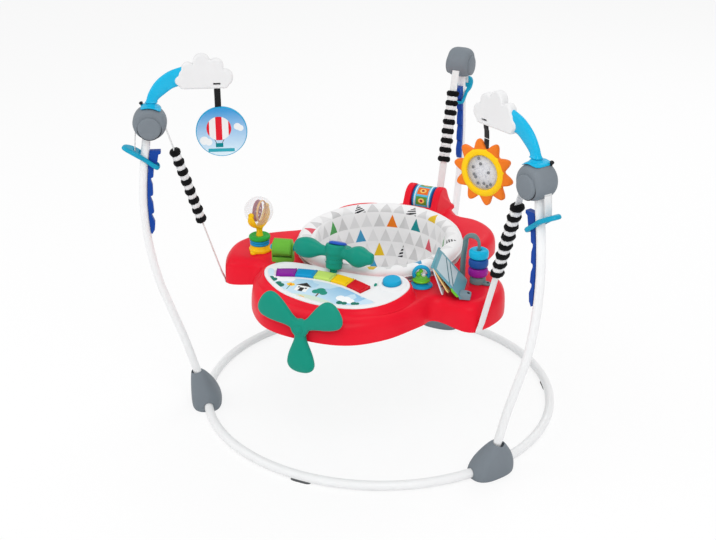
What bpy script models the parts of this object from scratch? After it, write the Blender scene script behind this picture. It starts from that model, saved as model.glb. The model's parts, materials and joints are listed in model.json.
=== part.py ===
# Baby activity jumper: a round steel base, three bowed posts and a sprung toy tray.
# Metres, +Z up. The nose of the tray points to -Y, the tail to +Y.
# Everything is placed about the centre of the base ring. One empty then shifts it all,
# so that the origin lies under the middle of the whole object.

from math import atan2, cos, degrees, pi, radians, sin, tan

import bmesh
import bpy
from mathutils import Matrix, Vector

# Clearances between pieces that touch on the real product
FIT = 0.0003
RUN = 0.0005

# Base ring and feet
RING_RADIUS = 0.430
RING_TUBE = 0.022
RING_LIFT = 0.002
PAD_LENGTH = 0.046
PAD_WIDTH = 0.017
FOOT_LENGTH = 0.112
FOOT_DEPTH = 0.074
FOOT_HEIGHT = 0.088
SITES = {"rear": 90.0, "left": 210.0, "right": 330.0}

# Hubs on the posts: distance from the ring's axis, and height
HUB_REACH = 0.525
HUB_HEIGHT = 0.733
HUB_RADIUS = 0.040
HUB_WIDTH = 0.060
HUB_CAP_RADIUS = 0.027
HUB_CAP_DEPTH = 0.0065
HUB_CAP_DROP = 0.008

# Posts: ends of the centreline, and its bow away from the straight line between them
POST_TUBE = 0.0195
POST_FOOT = (RING_RADIUS + 0.0105, 0.046)
POST_HEAD = (HUB_REACH + 0.0065, HUB_HEIGHT - 0.017)
POST_BOW = [
    (0.0, 0.0),
    (0.0925, 0.0091),
    (0.2, 0.0193),
    (0.3224, 0.0352),
    (0.4463, 0.0499),
    (0.5881, 0.0535),
    (0.7224, 0.0463),
    (0.8418, 0.0304),
    (0.9463, 0.0109),
    (1.0, 0.0),
]

# Height racks on the inner side of the posts, and the collars that catch in them
RACK_TOP = HUB_HEIGHT - 0.0665
RACK_BOTTOM = HUB_HEIGHT - 0.271
RACK_DEPTH = 0.0125
RACK_WIDTH = 0.014
RACK_HEAD = 0.0065
RACK_LIP = 0.0055
NOTCH_FIRST = HUB_HEIGHT - 0.133
NOTCH_PITCH = 0.044
NOTCH_COUNT = 3
NOTCH_DEPTH = 0.0055
COLLAR_LENGTH = 0.118
COLLAR_WIDTH = 0.044
COLLAR_THICKNESS = 0.011
COLLAR_TILT = 31.0
COLLAR_PLAY = 0.0016
COLLAR_REACH = HUB_REACH + 0.023
COLLAR_HEIGHT = HUB_HEIGHT - 0.087

# Webbing, its padded sleeves and the springs inside them
STRAP_WIDTH = 0.019
STRAP_THICKNESS = 0.0016
ARM_REACH = 0.371
ARM_SKIRT = 0.333
STRAP_FOOT = (ARM_REACH + 0.0045, ARM_SKIRT + 0.008)
STRAP_HEAD = (HUB_REACH - 0.0351, HUB_HEIGHT - 0.017)
STRAP_END = HUB_HEIGHT - 0.043
SLEEVE_TOP = HUB_HEIGHT - 0.063
SLEEVE_BOTTOM = HUB_HEIGHT - 0.253
SLEEVE_RADIUS = 0.015
SLEEVE_SEAM = 0.0130
SLEEVE_BORE = 0.0122
SLEEVE_BANDS = 17
SPRING_LENGTH = 0.086
SPRING_TURNS = 7
SPRING_WIRE = 0.0016

# Tray shell: (angle from the nose, reach of the outline, height of the skirt's edge)
TRAY_TOP = 0.400
TRAY_WALL = 0.003
TRAY_OUTLINE = [
    (0.0, 0.408, 0.346),
    (14.0, 0.405, 0.347),
    (26.0, 0.373, 0.348),
    (35.0, 0.341, 0.350),
    (41.0, 0.322, 0.350),
    (46.0, 0.301, 0.347),
    (51.0, 0.309, 0.340),
    (55.0, ARM_REACH - 0.017, ARM_SKIRT + 0.001),
    (57.5, ARM_REACH - 0.0015, ARM_SKIRT),
    (60.0, ARM_REACH, ARM_SKIRT),
    (62.5, ARM_REACH + 0.0002, ARM_SKIRT),
    (66.0, ARM_REACH - 0.001, ARM_SKIRT),
    (74.0, ARM_REACH - 0.010, ARM_SKIRT + 0.002),
    (82.0, ARM_REACH - 0.035, ARM_SKIRT + 0.005),
    (90.0, 0.295, 0.344),
    (99.0, 0.247, 0.348),
    (107.0, 0.233, 0.350),
    (117.0, 0.245, 0.350),
    (127.0, 0.280, 0.348),
    (136.0, 0.313, 0.346),
    (146.0, 0.327, 0.345),
    (155.0, 0.326, 0.345),
    (162.0, 0.313, 0.344),
    (169.0, ARM_REACH - 0.030, ARM_SKIRT + 0.005),
    (175.0, ARM_REACH - 0.005, ARM_SKIRT),
    (180.0, ARM_REACH, ARM_SKIRT),
]
TRAY_ANGLES = [
    0, 7, 14, 21, 28, 34, 39, 43, 46, 49, 52, 55, 57.5, 60, 62.5, 66, 71, 77, 83, 89, 95, 101,
    107, 113, 119, 125, 131, 137, 143, 149, 154, 158, 162, 165.5, 169, 172, 175.5, 180,
]
SEAT_HOLE = 0.189
SEAT_STEPS = 28

# Tail roller and its housing
ROLLER_Y = ARM_REACH - 0.074
ROLLER_Z = 0.424
ROLLER_RADIUS = 0.035
ROLLER_WIDTH = 0.058
HOUSING_WIDTH = 0.104
HOUSING_RIM = 0.006
AXLE_RADIUS = 0.004

# Seat: swivel ring and padded fabric seat
RING_WALL = 0.0145
RING_LIP = 0.003
RING_LIP_WIDTH = 0.009
RING_DEPTH = 0.026
SEAT_BACK_RISE = 0.017
SEAT_FLOOR = 0.188
SEAT_FLOOR_RADIUS = 0.024
SEAT_WALL_HEIGHTS = (0.345, 0.285, 0.225)
SEAT_CLOTH = 0.009
LEG_HOLE_RADIUS = 0.050
LEG_HOLE_TILT = 128.0
LEG_HOLE_TURN = 48.0
LEG_HOLE_REACH = 0.125
LEG_HOLE_HEIGHT = 0.237

# Propeller on the nose
PROP_HEIGHT = 0.381
PROP_REACH = 0.112
PROP_LOBE = 0.0262
PROP_THICKNESS = 0.56
PROP_HUB = 0.020
PROP_DEPTH = 0.020

# Music panel with its keys, button and switch
PANEL_OUTLINE = [
    (-0.172, -0.244),
    (-0.164, -0.276),
    (-0.133, -0.308),
    (-0.080, -0.339),
    (0.000, -0.355),
    (0.080, -0.346),
    (0.128, -0.320),
    (0.160, -0.276),
    (0.170, -0.222),
    (0.150, -0.188),
    (0.119, -0.180),
    (0.085, -0.200),
    (0.000, -0.2085),
    (-0.085, -0.205),
    (-0.145, -0.214),
]
PANEL_FRONT_Y = -0.355
PANEL_FRONT_RISE = 0.011
PANEL_SLOPE = 0.11
KEY_COUNT = 5
KEY_ARC = 0.265
KEY_ARC_X = -0.026
KEY_MIDDLE_Y = -0.2445
KEY_STEP = 9.9
KEY_DEPTH = 0.030
KEY_HEIGHT = 0.011
KEY_TRAVEL = 0.0025
BUTTON_X = 0.128
BUTTON_Y = -0.2215
BUTTON_RADIUS = 0.0205
BUTTON_HEIGHT = 0.0185
BUTTON_SUNK = 0.005
SWITCH_X = 0.096
SWITCH_Y = -0.2395
SWITCH_LENGTH = 0.010
SWITCH_WIDTH = 0.006
SWITCH_TRAVEL = 0.006

# Steering wheel on its stem
WHEEL_X = -0.0175
WHEEL_Y = -0.2185
WHEEL_TILT = 12.0
STEM_RADIUS = 0.019
STEM_NECK = 0.008
STEM_HEIGHT = 0.049
WHEEL_HUB_RADIUS = 0.023
WHEEL_HUB_HEIGHT = 0.030
WHEEL_REACH = 0.102
WHEEL_LOBE = 0.0235
WHEEL_DROP_TURN = 78.0

# Ball toy on the left wing
BALL_X = -0.257
BALL_Y = -0.128
BALL_RADIUS = 0.0345
BALL_HEIGHT = 0.1015
BALL_NECK = 0.005

# Lime roller toy, bead toy, ring toy and book on the wings
LIME_X = -0.163
LIME_Y = -0.186
LIME_RADIUS = 0.021
LIME_WIDTH = 0.044
LIME_HEIGHT = 0.047
LIME_CHEEK = 0.003
LIME_PIN = 0.003
LIME_TURN = 15.0
BEAD_X = 0.169
BEAD_Y = -0.150
BEAD_BASE = 0.026
BEAD_ARCH = 0.017
BEAD_ARCH_WIRE = 0.008
BEAD_ARCH_TOP = 0.046
STACK_X = 0.279
STACK_Y = -0.081
STACK_TURN = -10.0
STACK_RADIUS = 0.0225
STACK_DISC = 0.0215
STACK_COUNT = 3
STACK_WIRE = 0.008
STACK_SPAN = 0.040
STACK_TOP = 0.114
STACK_BASE = 0.018
STACK_BASE_HEIGHT = 0.017
BOOK_X = 0.203
BOOK_Y = -0.152
BOOK_HEIGHT = 0.475
BOOK_TURN = 13.0
BOOK_LENGTH = 0.104
SPINE_RADIUS = 0.003
PAGE_THICKNESS = 0.0025
PAGE_START = 0.024
PAGE_REACH = 0.071
KNUCKLE_SLOTS = 9
PAGES = {
    "page_front": (20.0, (1, 6), "page_white"),
    "page_middle": (31.5, (2, 7), "page_orange"),
}
COVER_SLOTS = (0, 4, 8)
CLIP_SHIFT = -0.036
COVER_ANGLE = 42.6
COVER_REACH = 0.098

# Toy arms and clouds, as (reach, height) from the hub's middle, and what hangs from them
ARM_THICKNESS = 0.016
ARM_OUTER = [(0.005, 0.0465), (-0.001, 0.067), (-0.019, 0.094), (-0.047, 0.115), (-0.078, 0.126)]
ARM_INNER = [(-0.078, 0.084), (-0.057, 0.078), (-0.038, 0.065), (-0.025, 0.055), (-0.018, 0.0465)]
ARM_FOOT = 0.0155
CLOUD_THICKNESS = 0.020
CLOUD_PUFFS = [
    (-0.091, 0.109, 0.026),
    (-0.129, 0.123, 0.032),
    (-0.160, 0.113, 0.027),
    (-0.174, 0.096, 0.018),
    (-0.080, 0.093, 0.016),
]
CLOUD_FLOOR = 0.076
CLOUD_MIDDLE = (-0.130, 0.103)
SLOT_REACH = HUB_REACH - 0.155
SLOT_HEIGHT = HUB_HEIGHT + 0.0875
SLOT_GAP = 0.007
HANG_STRAP_WIDTH = 0.0145
HANG_STRAP_THICKNESS = 0.0018
HANG_LOOP_SIDE = 0.0012
HANG_STRAP_TIP = 0.001
DISC_RADIUS = 0.061
DISC_HEIGHT = HUB_HEIGHT - 0.029
DISC_THICKNESS = 0.009
SUN_RADIUS = 0.0545
SUN_RAY = 0.0195
SUN_RAYS = 11
SUN_HEIGHT = HUB_HEIGHT - 0.0285
SUN_THICKNESS = 0.013
SUN_RING = 0.0035
SUN_TURN = 16.5
WINDOW_RADIUS = 0.035
WINDOW_THICKNESS = 0.016

# Origin: the middle of the whole object along Y
FRONT_EDGE = -(RING_RADIUS + RING_TUBE / 2)
REAR_EDGE = (
    COLLAR_REACH
    + (COLLAR_LENGTH / 2 - COLLAR_WIDTH / 2) * cos(radians(COLLAR_TILT))
    + COLLAR_WIDTH / 2
)


def clear_scene():
    for obj in list(bpy.data.objects):
        bpy.data.objects.remove(obj, do_unlink=True)


def make_material(name, colour, roughness=0.35, metallic=0.0):
    mat = bpy.data.materials.new(name)
    mat.use_nodes = True
    shader = mat.node_tree.nodes["Principled BSDF"]
    shader.inputs["Base Color"].default_value = (*colour, 1.0)
    shader.inputs["Roughness"].default_value = roughness
    shader.inputs["Metallic"].default_value = metallic
    return mat


clear_scene()
parts = bpy.data.collections.new("baby_activity_jumper")
cutters = bpy.data.collections.new("cutters")
for group in (parts, cutters):
    bpy.context.scene.collection.children.link(group)

MATERIALS = {
    "white_steel": make_material("white_steel", (0.88, 0.88, 0.87), 0.28),
    "grey_plastic": make_material("grey_plastic", (0.17, 0.20, 0.23), 0.45),
    "navy": make_material("navy", (0.01, 0.08, 0.38), 0.4),
    "collar_cyan": make_material("collar_cyan", (0.01, 0.38, 0.56), 0.35),
    "arm_cyan": make_material("arm_cyan", (0.0, 0.45, 0.80), 0.25),
    "webbing": make_material("webbing", (0.80, 0.80, 0.78), 0.8),
    "sleeve": make_material("sleeve", (0.45, 0.45, 0.45), 0.85),
    "spring_steel": make_material("spring_steel", (0.55, 0.55, 0.57), 0.3, 1.0),
    "cloud_white": make_material("cloud_white", (0.80, 0.80, 0.80), 0.5),
    "black_webbing": make_material("black_webbing", (0.01, 0.01, 0.01), 0.8),
    "sky_disc": make_material("sky_disc", (0.35, 0.62, 0.85), 0.35),
    "sun_orange": make_material("sun_orange", (0.87, 0.22, 0.02), 0.4),
    "clear": make_material("clear", (0.75, 0.78, 0.85), 0.08),
    "red": make_material("red", (0.80, 0.005, 0.025), 0.3),
    "seat_ring": make_material("seat_ring", (0.60, 0.60, 0.60), 0.5),
    "seat_cloth": make_material("seat_cloth", (0.78, 0.78, 0.77), 0.9),
    "teal": make_material("teal", (0.0, 0.31, 0.22), 0.35),
    "panel_white": make_material("panel_white", (0.82, 0.84, 0.86), 0.3),
    "key_1": make_material("key_purple", (0.25, 0.01, 0.30), 0.25),
    "key_2": make_material("key_blue", (0.0, 0.33, 0.58), 0.25),
    "key_3": make_material("key_lime", (0.62, 0.80, 0.15), 0.25),
    "key_4": make_material("key_yellow", (1.0, 0.65, 0.0), 0.25),
    "key_5": make_material("key_red", (0.67, 0.0, 0.015), 0.25),
    "button_blue": make_material("button_blue", (0.01, 0.39, 0.75), 0.25),
    "yellow": make_material("yellow", (1.0, 0.65, 0.0), 0.35),
    "lime": make_material("lime", (0.11, 0.54, 0.01), 0.35),
    "toy_cyan": make_material("toy_cyan", (0.0, 0.40, 0.65), 0.25),
    "arch_grey": make_material("arch_grey", (0.21, 0.32, 0.33), 0.4),
    "stack_1": make_material("stack_purple", (0.35, 0.01, 0.33), 0.35),
    "stack_2": make_material("stack_navy", (0.01, 0.10, 0.38), 0.35),
    "stack_3": make_material("stack_cyan", (0.0, 0.45, 0.72), 0.35),
    "cover_teal": make_material("cover_teal", (0.20, 0.42, 0.50), 0.6),
    "page_white": make_material("page_white", (0.72, 0.80, 0.85), 0.6),
    "page_orange": make_material("page_orange", (0.80, 0.33, 0.10), 0.6),
}


# Building helpers

def empty(name, parent=None, location=(0, 0, 0), rotation=(0, 0, 0)):
    obj = bpy.data.objects.new(name, None)
    obj.location = location
    obj.rotation_euler = rotation
    obj.parent = parent
    parts.objects.link(obj)
    return obj


def place(obj, name, parent, location=(0, 0, 0), rotation=(0, 0, 0)):
    obj.name = name
    obj.parent = parent
    obj.location = location
    obj.rotation_euler = rotation
    return obj


def as_part(obj, material, smooth=35.0):
    for group in list(obj.users_collection):
        group.objects.unlink(obj)
    parts.objects.link(obj)
    obj.data.materials.clear()
    obj.data.materials.append(MATERIALS[material])
    if obj.type == "MESH":
        obj.data.shade_smooth()
        obj.data.set_sharp_from_angle(angle=radians(smooth))
    return obj


def as_cutter(obj):
    for group in list(obj.users_collection):
        group.objects.unlink(obj)
    cutters.objects.link(obj)
    obj.hide_render = True
    obj.display_type = "WIRE"
    return obj


def combine(obj, other, operation="DIFFERENCE"):
    as_cutter(other)
    step = obj.modifiers.new(operation.lower(), "BOOLEAN")
    step.operation = operation
    step.solver = "EXACT"
    step.object = other
    return obj


def cut(obj, other):
    return combine(obj, other, "DIFFERENCE")


def join(obj, other):
    return combine(obj, other, "UNION")


def bevel(obj, width, segments=2, angle=35.0):
    step = obj.modifiers.new("bevel", "BEVEL")
    step.width = width
    step.segments = segments
    step.limit_method = "ANGLE"
    step.angle_limit = radians(angle)
    return obj


def mesh_object(name, bm):
    bmesh.ops.recalc_face_normals(bm, faces=bm.faces)
    mesh = bpy.data.meshes.new(name)
    bm.to_mesh(mesh)
    bm.free()
    obj = bpy.data.objects.new(name, mesh)
    parts.objects.link(obj)
    return obj


def box(size, location=(0, 0, 0)):
    bm = bmesh.new()
    bmesh.ops.create_cube(bm, size=1.0)
    bmesh.ops.scale(bm, vec=size, verts=bm.verts)
    bmesh.ops.translate(bm, vec=location, verts=bm.verts)
    return mesh_object("box", bm)


def cylinder(radius, depth, sides=24, axis="Z", location=(0, 0, 0), top_radius=None):
    bm = bmesh.new()
    bmesh.ops.create_cone(
        bm,
        cap_ends=True,
        segments=sides,
        radius1=radius,
        radius2=radius if top_radius is None else top_radius,
        depth=depth,
    )
    turn = {"X": Matrix.Rotation(pi / 2, 4, "Y"), "Y": Matrix.Rotation(-pi / 2, 4, "X")}
    if axis in turn:
        bmesh.ops.transform(bm, matrix=turn[axis], verts=bm.verts)
    bmesh.ops.translate(bm, vec=location, verts=bm.verts)
    return mesh_object("cylinder", bm)


def ball(radius, segments=20, rings=12, location=(0, 0, 0)):
    bm = bmesh.new()
    bmesh.ops.create_uvsphere(bm, u_segments=segments, v_segments=rings, radius=radius)
    bmesh.ops.translate(bm, vec=location, verts=bm.verts)
    return mesh_object("ball", bm)


def torus(major, minor, major_steps, minor_steps):
    bpy.ops.mesh.primitive_torus_add(
        major_radius=major,
        minor_radius=minor,
        major_segments=major_steps,
        minor_segments=minor_steps,
    )
    return bpy.context.object


def turned(profile, steps=24, closed=False):
    """A profile of (radius, height) points, from the top down its outer side, turned about Z."""
    mesh = bpy.data.meshes.new("profile")
    edges = [(i, i + 1) for i in range(len(profile) - 1)]
    if closed:
        edges.append((len(profile) - 1, 0))
    mesh.from_pydata([(r, 0.0, z) for r, z in profile], edges, [])
    obj = bpy.data.objects.new("turned", mesh)
    parts.objects.link(obj)
    step = obj.modifiers.new("screw", "SCREW")
    step.steps = steps
    step.render_steps = steps
    step.use_merge_vertices = True
    step.merge_threshold = 0.00001
    return obj


def plate(outline, thickness, smooth_outline=False, resolution=4):
    """A flat outline in local XY, filled and extruded to both sides of it."""
    curve = bpy.data.curves.new("outline", "CURVE")
    curve.dimensions = "2D"
    curve.fill_mode = "BOTH"
    curve.extrude = thickness / 2
    curve.resolution_u = resolution
    if smooth_outline:
        spline = curve.splines.new("BEZIER")
        spline.bezier_points.add(len(outline) - 1)
        for point, (x, y) in zip(spline.bezier_points, outline):
            point.co = (x, y, 0.0)
            point.handle_left_type = "AUTO"
            point.handle_right_type = "AUTO"
    else:
        spline = curve.splines.new("POLY")
        spline.points.add(len(outline) - 1)
        for point, (x, y) in zip(spline.points, outline):
            point.co = (x, y, 0.0, 1.0)
    spline.use_cyclic_u = True
    return curve_to_mesh(curve)


def tube(points, diameter, smooth_path=True, resolution=3, sides_level=1):
    curve = bpy.data.curves.new("tube", "CURVE")
    curve.dimensions = "3D"
    curve.bevel_depth = diameter / 2
    curve.bevel_resolution = sides_level
    curve.use_fill_caps = True
    curve.resolution_u = resolution
    if smooth_path:
        spline = curve.splines.new("BEZIER")
        spline.bezier_points.add(len(points) - 1)
        for point, place_at in zip(spline.bezier_points, points):
            point.co = place_at
            point.handle_left_type = "AUTO"
            point.handle_right_type = "AUTO"
    else:
        spline = curve.splines.new("POLY")
        spline.points.add(len(points) - 1)
        for point, place_at in zip(spline.points, points):
            point.co = (*place_at, 1.0)
    return curve_to_mesh(curve)


def curve_to_mesh(curve):
    source = bpy.data.objects.new("curve", curve)
    parts.objects.link(source)
    bpy.context.view_layer.update()
    graph = bpy.context.evaluated_depsgraph_get()
    mesh = bpy.data.meshes.new_from_object(source.evaluated_get(graph))
    bm = bmesh.new()
    bm.from_mesh(mesh)
    bmesh.ops.remove_doubles(bm, verts=bm.verts, dist=0.00001)
    bmesh.ops.recalc_face_normals(bm, faces=bm.faces)
    bm.to_mesh(mesh)
    bm.free()
    obj = bpy.data.objects.new("from_curve", mesh)
    obj.matrix_world = source.matrix_world.copy()
    parts.objects.link(obj)
    bpy.data.objects.remove(source, do_unlink=True)
    return obj


def rings_to_mesh(rings, close_rings=False):
    """A surface through rings of points, every ring with as many points."""
    bm = bmesh.new()
    rows = [[bm.verts.new(point) for point in ring] for ring in rings]
    pairs = list(zip(rows, rows[1:]))
    if close_rings:
        pairs.append((rows[-1], rows[0]))
    for lower, upper in pairs:
        for i in range(len(lower)):
            j = (i + 1) % len(lower)
            bm.faces.new((lower[i], lower[j], upper[j], upper[i]))
    return bm


def smooth_path(points, steps):
    """Points on a smooth line through the given (a, b) points, ends included."""
    result = []
    count = len(points)
    for i in range(count - 1):
        before = Vector(points[max(i - 1, 0)])
        start = Vector(points[i])
        end = Vector(points[i + 1])
        after = Vector(points[min(i + 2, count - 1)])
        for k in range(steps):
            t = k / steps
            result.append(
                0.5
                * (
                    2 * start
                    + (end - before) * t
                    + (2 * before - 5 * start + 4 * end - after) * t * t
                    + (3 * start - before - 3 * end + after) * t ** 3
                )
            )
    result.append(Vector(points[-1]))
    return result


def offset_path(path, distance):
    """The path moved sideways by a distance, to its left."""
    moved = []
    for i, point in enumerate(path):
        along = path[min(i + 1, len(path) - 1)] - path[max(i - 1, 0)]
        along.normalize()
        moved.append(point + Vector((-along.y, along.x)) * distance)
    return moved


def upright(obj):
    """Stands an outline drawn in (reach, height) upright in the local XZ plane."""
    obj.data.transform(Matrix.Rotation(pi / 2, 4, "X"))
    return obj


def ribbon(path, width, thickness):
    """A flat band whose centreline is a path of (reach, height) points."""
    left = offset_path(path, thickness / 2)
    right = offset_path(path, -thickness / 2)
    return upright(plate([tuple(p) for p in left + right[::-1]], width))


# Base ring, feet and posts

def post_line():
    """The post's centreline as points of (distance from the ring's axis, height)."""
    foot = Vector(POST_FOOT)
    chord = Vector(POST_HEAD) - foot
    return [foot + chord * share + Vector((bow, 0.0)) for share, bow in POST_BOW]


def post_points():
    return [(point.x, 0.0, point.y) for point in post_line()]


def post_reach(height):
    """Distance of the post's centreline from the ring's axis at a height."""
    path = smooth_path(post_line(), 8)
    for low, high in zip(path, path[1:]):
        if low.y <= height <= high.y:
            return low.x + (high.x - low.x) * (height - low.y) / (high.y - low.y)
    return path[-1].x


def build_base_ring(origin):
    ring = torus(RING_RADIUS, RING_TUBE / 2, 48, 8)
    height = RING_LIFT + RING_TUBE / 2
    for angle in SITES.values():
        pad = box((PAD_WIDTH, PAD_LENGTH, RING_LIFT + RING_TUBE * 0.4))
        middle = RING_LIFT / 2 + RING_TUBE * 0.2 - height
        turn = radians(angle + 180.0)
        spot = Vector((RING_RADIUS * cos(turn), RING_RADIUS * sin(turn), middle))
        place(pad, "pad", ring, spot, (0, 0, turn))
        join(ring, pad)
    place(ring, "base_ring", origin, (0, 0, height))
    return as_part(ring, "white_steel")


def foot_section(share, length, depth, reach):
    """A rounded rectangle, points from its outer side round."""
    points = []
    count = 16
    for i in range(count):
        turn = 2 * pi * i / count
        power = 0.62
        across = abs(cos(turn)) ** power * (1 if cos(turn) >= 0 else -1)
        along = abs(sin(turn)) ** power * (1 if sin(turn) >= 0 else -1)
        points.append((reach + depth / 2 * across, length / 2 * along, share * FOOT_HEIGHT))
    return points


def build_foot(name, site):
    top_reach = post_reach(FOOT_HEIGHT)
    sections = [
        (0.0, FOOT_LENGTH, FOOT_DEPTH, RING_RADIUS + 0.002),
        (0.12, FOOT_LENGTH, FOOT_DEPTH, RING_RADIUS + 0.002),
        (0.36, FOOT_LENGTH * 0.90, FOOT_DEPTH * 0.92, RING_RADIUS + 0.003),
        (0.62, FOOT_LENGTH * 0.66, FOOT_DEPTH * 0.74, RING_RADIUS + 0.008),
        (0.84, FOOT_LENGTH * 0.42, FOOT_DEPTH * 0.54, top_reach - 0.004),
        (1.0, FOOT_LENGTH * 0.27, FOOT_DEPTH * 0.41, top_reach),
    ]
    bm = rings_to_mesh([foot_section(*section) for section in sections])
    bmesh.ops.holes_fill(bm, edges=bm.edges)
    foot = mesh_object("foot", bm)
    place(foot, "foot_" + name, site)
    bore = torus(RING_RADIUS, RING_TUBE / 2 + FIT, 48, 8)
    place(bore, "ring_bore", site, (0, 0, RING_LIFT + RING_TUBE / 2))
    cut(foot, bore)
    socket = tube(post_points(), POST_TUBE + 2 * FIT, resolution=2, sides_level=3)
    socket.data.transform(Matrix.Translation((0, 0, -FIT)))
    place(socket, "post_socket", site)
    cut(foot, socket)
    return as_part(foot, "grey_plastic", 40)


def build_post(name, site):
    post = tube(post_points(), POST_TUBE, resolution=2, sides_level=3)
    place(post, "post_" + name, site)
    return as_part(post, "white_steel", 60)


# Hubs and the webbing that runs over them

def strap_slope():
    return (STRAP_HEAD[0] - STRAP_FOOT[0]) / (STRAP_HEAD[1] - STRAP_FOOT[1])


def strap_reach(height):
    return STRAP_FOOT[0] + strap_slope() * (height - STRAP_FOOT[1])


def by_hub(points):
    """Points given from the hub's middle, as (distance from the ring's axis, height)."""
    return [(HUB_REACH + reach, HUB_HEIGHT + height) for reach, height in points]


def hub_path():
    """The webbing's way from the collar up, over the hub's bar and down to the sleeve."""
    over = [
        (0.0375, -0.0465),
        (0.0405, -0.021),
        (0.033, 0.004),
        (0.016, 0.019),
        (-0.004, 0.020),
        (-0.022, 0.008),
    ]
    return by_hub(over) + [STRAP_HEAD, (strap_reach(STRAP_END), STRAP_END)]


def strap_path():
    skirt = ARM_SKIRT
    under = skirt - FIT - STRAP_THICKNESS
    straight = []
    for share in (0.74, 0.455, 0.17, 0.04):
        height = STRAP_FOOT[1] + (STRAP_END - STRAP_FOOT[1]) * share
        straight.append(Vector((strap_reach(height), height)))
    return smooth_path(hub_path(), 3) + straight + [
        Vector((ARM_REACH + 0.0035, skirt + 0.010)),
        Vector((ARM_REACH + 0.0014, skirt + 0.0015)),
        Vector((ARM_REACH + 0.0011, under + 0.0006)),
        Vector((ARM_REACH - 0.0006, under - 0.0002)),
        Vector((ARM_REACH - 0.0035, under)),
        Vector((ARM_REACH - 0.0075, under + 0.0015)),
        Vector((ARM_REACH - 0.0095, skirt + 0.004)),
        Vector((ARM_REACH - 0.0100, skirt + 0.018)),
    ]


def build_strap(name, site):
    strap = ribbon(strap_path(), STRAP_WIDTH, STRAP_THICKNESS)
    place(strap, "strap_" + name, site)
    return as_part(strap, "webbing")


def build_hub(name, site):
    hub = cylinder(HUB_RADIUS, HUB_WIDTH, 16, "Y")
    bevel(hub, 0.012, 2)
    for side in (-1, 1):
        depth = HUB_CAP_DEPTH * 2
        middle = side * HUB_WIDTH / 2
        cap = cylinder(HUB_CAP_RADIUS, depth, 12, "Y", (0, middle, -HUB_CAP_DROP))
        bevel(cap, 0.003, 1)
        place(cap, "hub_cap", hub)
        join(hub, cap)
    slot = ribbon(smooth_path(hub_path(), 3), STRAP_WIDTH + 4 * RUN, STRAP_THICKNESS + 4 * RUN)
    slot.data.transform(Matrix.Translation((-HUB_REACH, 0, -HUB_HEIGHT)))
    place(slot, "strap_slot", hub)
    cut(hub, slot)
    socket = tube(post_points(), POST_TUBE + 2 * FIT, resolution=2, sides_level=3)
    socket.data.transform(Matrix.Translation((-HUB_REACH, 0, -HUB_HEIGHT + FIT)))
    place(socket, "post_socket", hub)
    cut(hub, socket)
    place(hub, "hub_" + name, site, (HUB_REACH, 0, HUB_HEIGHT))
    return as_part(hub, "grey_plastic", 40)


# Height racks and collars

def rack_outline():
    """Inner edge of the rack with its notches, then its back along the post."""
    gap = POST_TUBE / 2 + FIT

    def back(height):
        return post_reach(height) - gap

    def face(height):
        return back(height) - RACK_DEPTH

    shoulder = COLLAR_HEIGHT - 0.0085
    points = [
        (back(RACK_TOP), RACK_TOP),
        (face(RACK_TOP) - RACK_HEAD - RACK_LIP, RACK_TOP),
        (face(RACK_TOP) - RACK_HEAD - RACK_LIP, RACK_TOP - 0.007),
        (face(RACK_TOP) - RACK_HEAD, RACK_TOP - 0.010),
        (face(shoulder) - RACK_HEAD, shoulder - 0.0035),
        (face(shoulder), shoulder + 0.0005),
    ]
    for i in range(NOTCH_COUNT):
        height = NOTCH_FIRST - i * NOTCH_PITCH
        points += [
            (face(height + 0.003), height + 0.003),
            (face(height) + NOTCH_DEPTH, height),
            (face(height - 0.005) + NOTCH_DEPTH, height - 0.005),
            (face(height - 0.018) + 0.001, height - 0.018),
        ]
    points += [
        (face(RACK_BOTTOM + 0.028), RACK_BOTTOM + 0.028),
        (face(RACK_BOTTOM + 0.010) + 0.003, RACK_BOTTOM + 0.010),
        (back(RACK_BOTTOM) - 0.0025, RACK_BOTTOM),
        (back(RACK_BOTTOM), RACK_BOTTOM + 0.002),
    ]
    steps = 6
    for i in range(1, steps):
        height = RACK_BOTTOM + (RACK_TOP - RACK_BOTTOM) * i / steps
        points.append((back(height), height))
    return points


def build_rack(name, site):
    rack = upright(plate(rack_outline(), RACK_WIDTH))
    place(rack, "rack_" + name, site)
    return as_part(rack, "navy", 30)


def stadium(length, width, steps=6, shift=0.0):
    """A slot-shaped outline along X."""
    straight = length / 2 - width / 2
    points = []
    for side in (1, -1):
        for i in range(steps + 1):
            turn = radians(-90 + 180 * i / steps) + (0 if side > 0 else pi)
            across = side * straight + width / 2 * cos(turn)
            points.append((shift + across, width / 2 * sin(turn)))
    return points


def build_collar(name, site):
    collar = plate(stadium(COLLAR_LENGTH, COLLAR_WIDTH), COLLAR_THICKNESS)
    bevel(collar, 0.003, 2)
    tilt = radians(COLLAR_TILT)
    post_middle = post_reach(COLLAR_HEIGHT)
    inner = post_middle - POST_TUBE / 2 - FIT - RACK_DEPTH
    outer = post_middle + POST_TUBE / 2
    lean = COLLAR_THICKNESS / 2 * tan(tilt)
    low = (inner - COLLAR_REACH) / cos(tilt) - lean - COLLAR_PLAY
    high = (outer - COLLAR_REACH) / cos(tilt) + lean + 3 * COLLAR_PLAY
    hole = plate(
        stadium(high - low, POST_TUBE + 0.006, shift=(low + high) / 2),
        COLLAR_THICKNESS * 2,
    )
    place(hole, "post_hole", collar)
    cut(collar, hole)
    place(
        collar,
        "collar_" + name,
        site,
        (COLLAR_REACH, 0, COLLAR_HEIGHT),
        (0, -tilt, 0),
    )
    return as_part(collar, "collar_cyan", 40)


# Padded sleeves and the springs inside them

def sleeve_tilt():
    return atan2(strap_slope(), 1.0)


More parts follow.
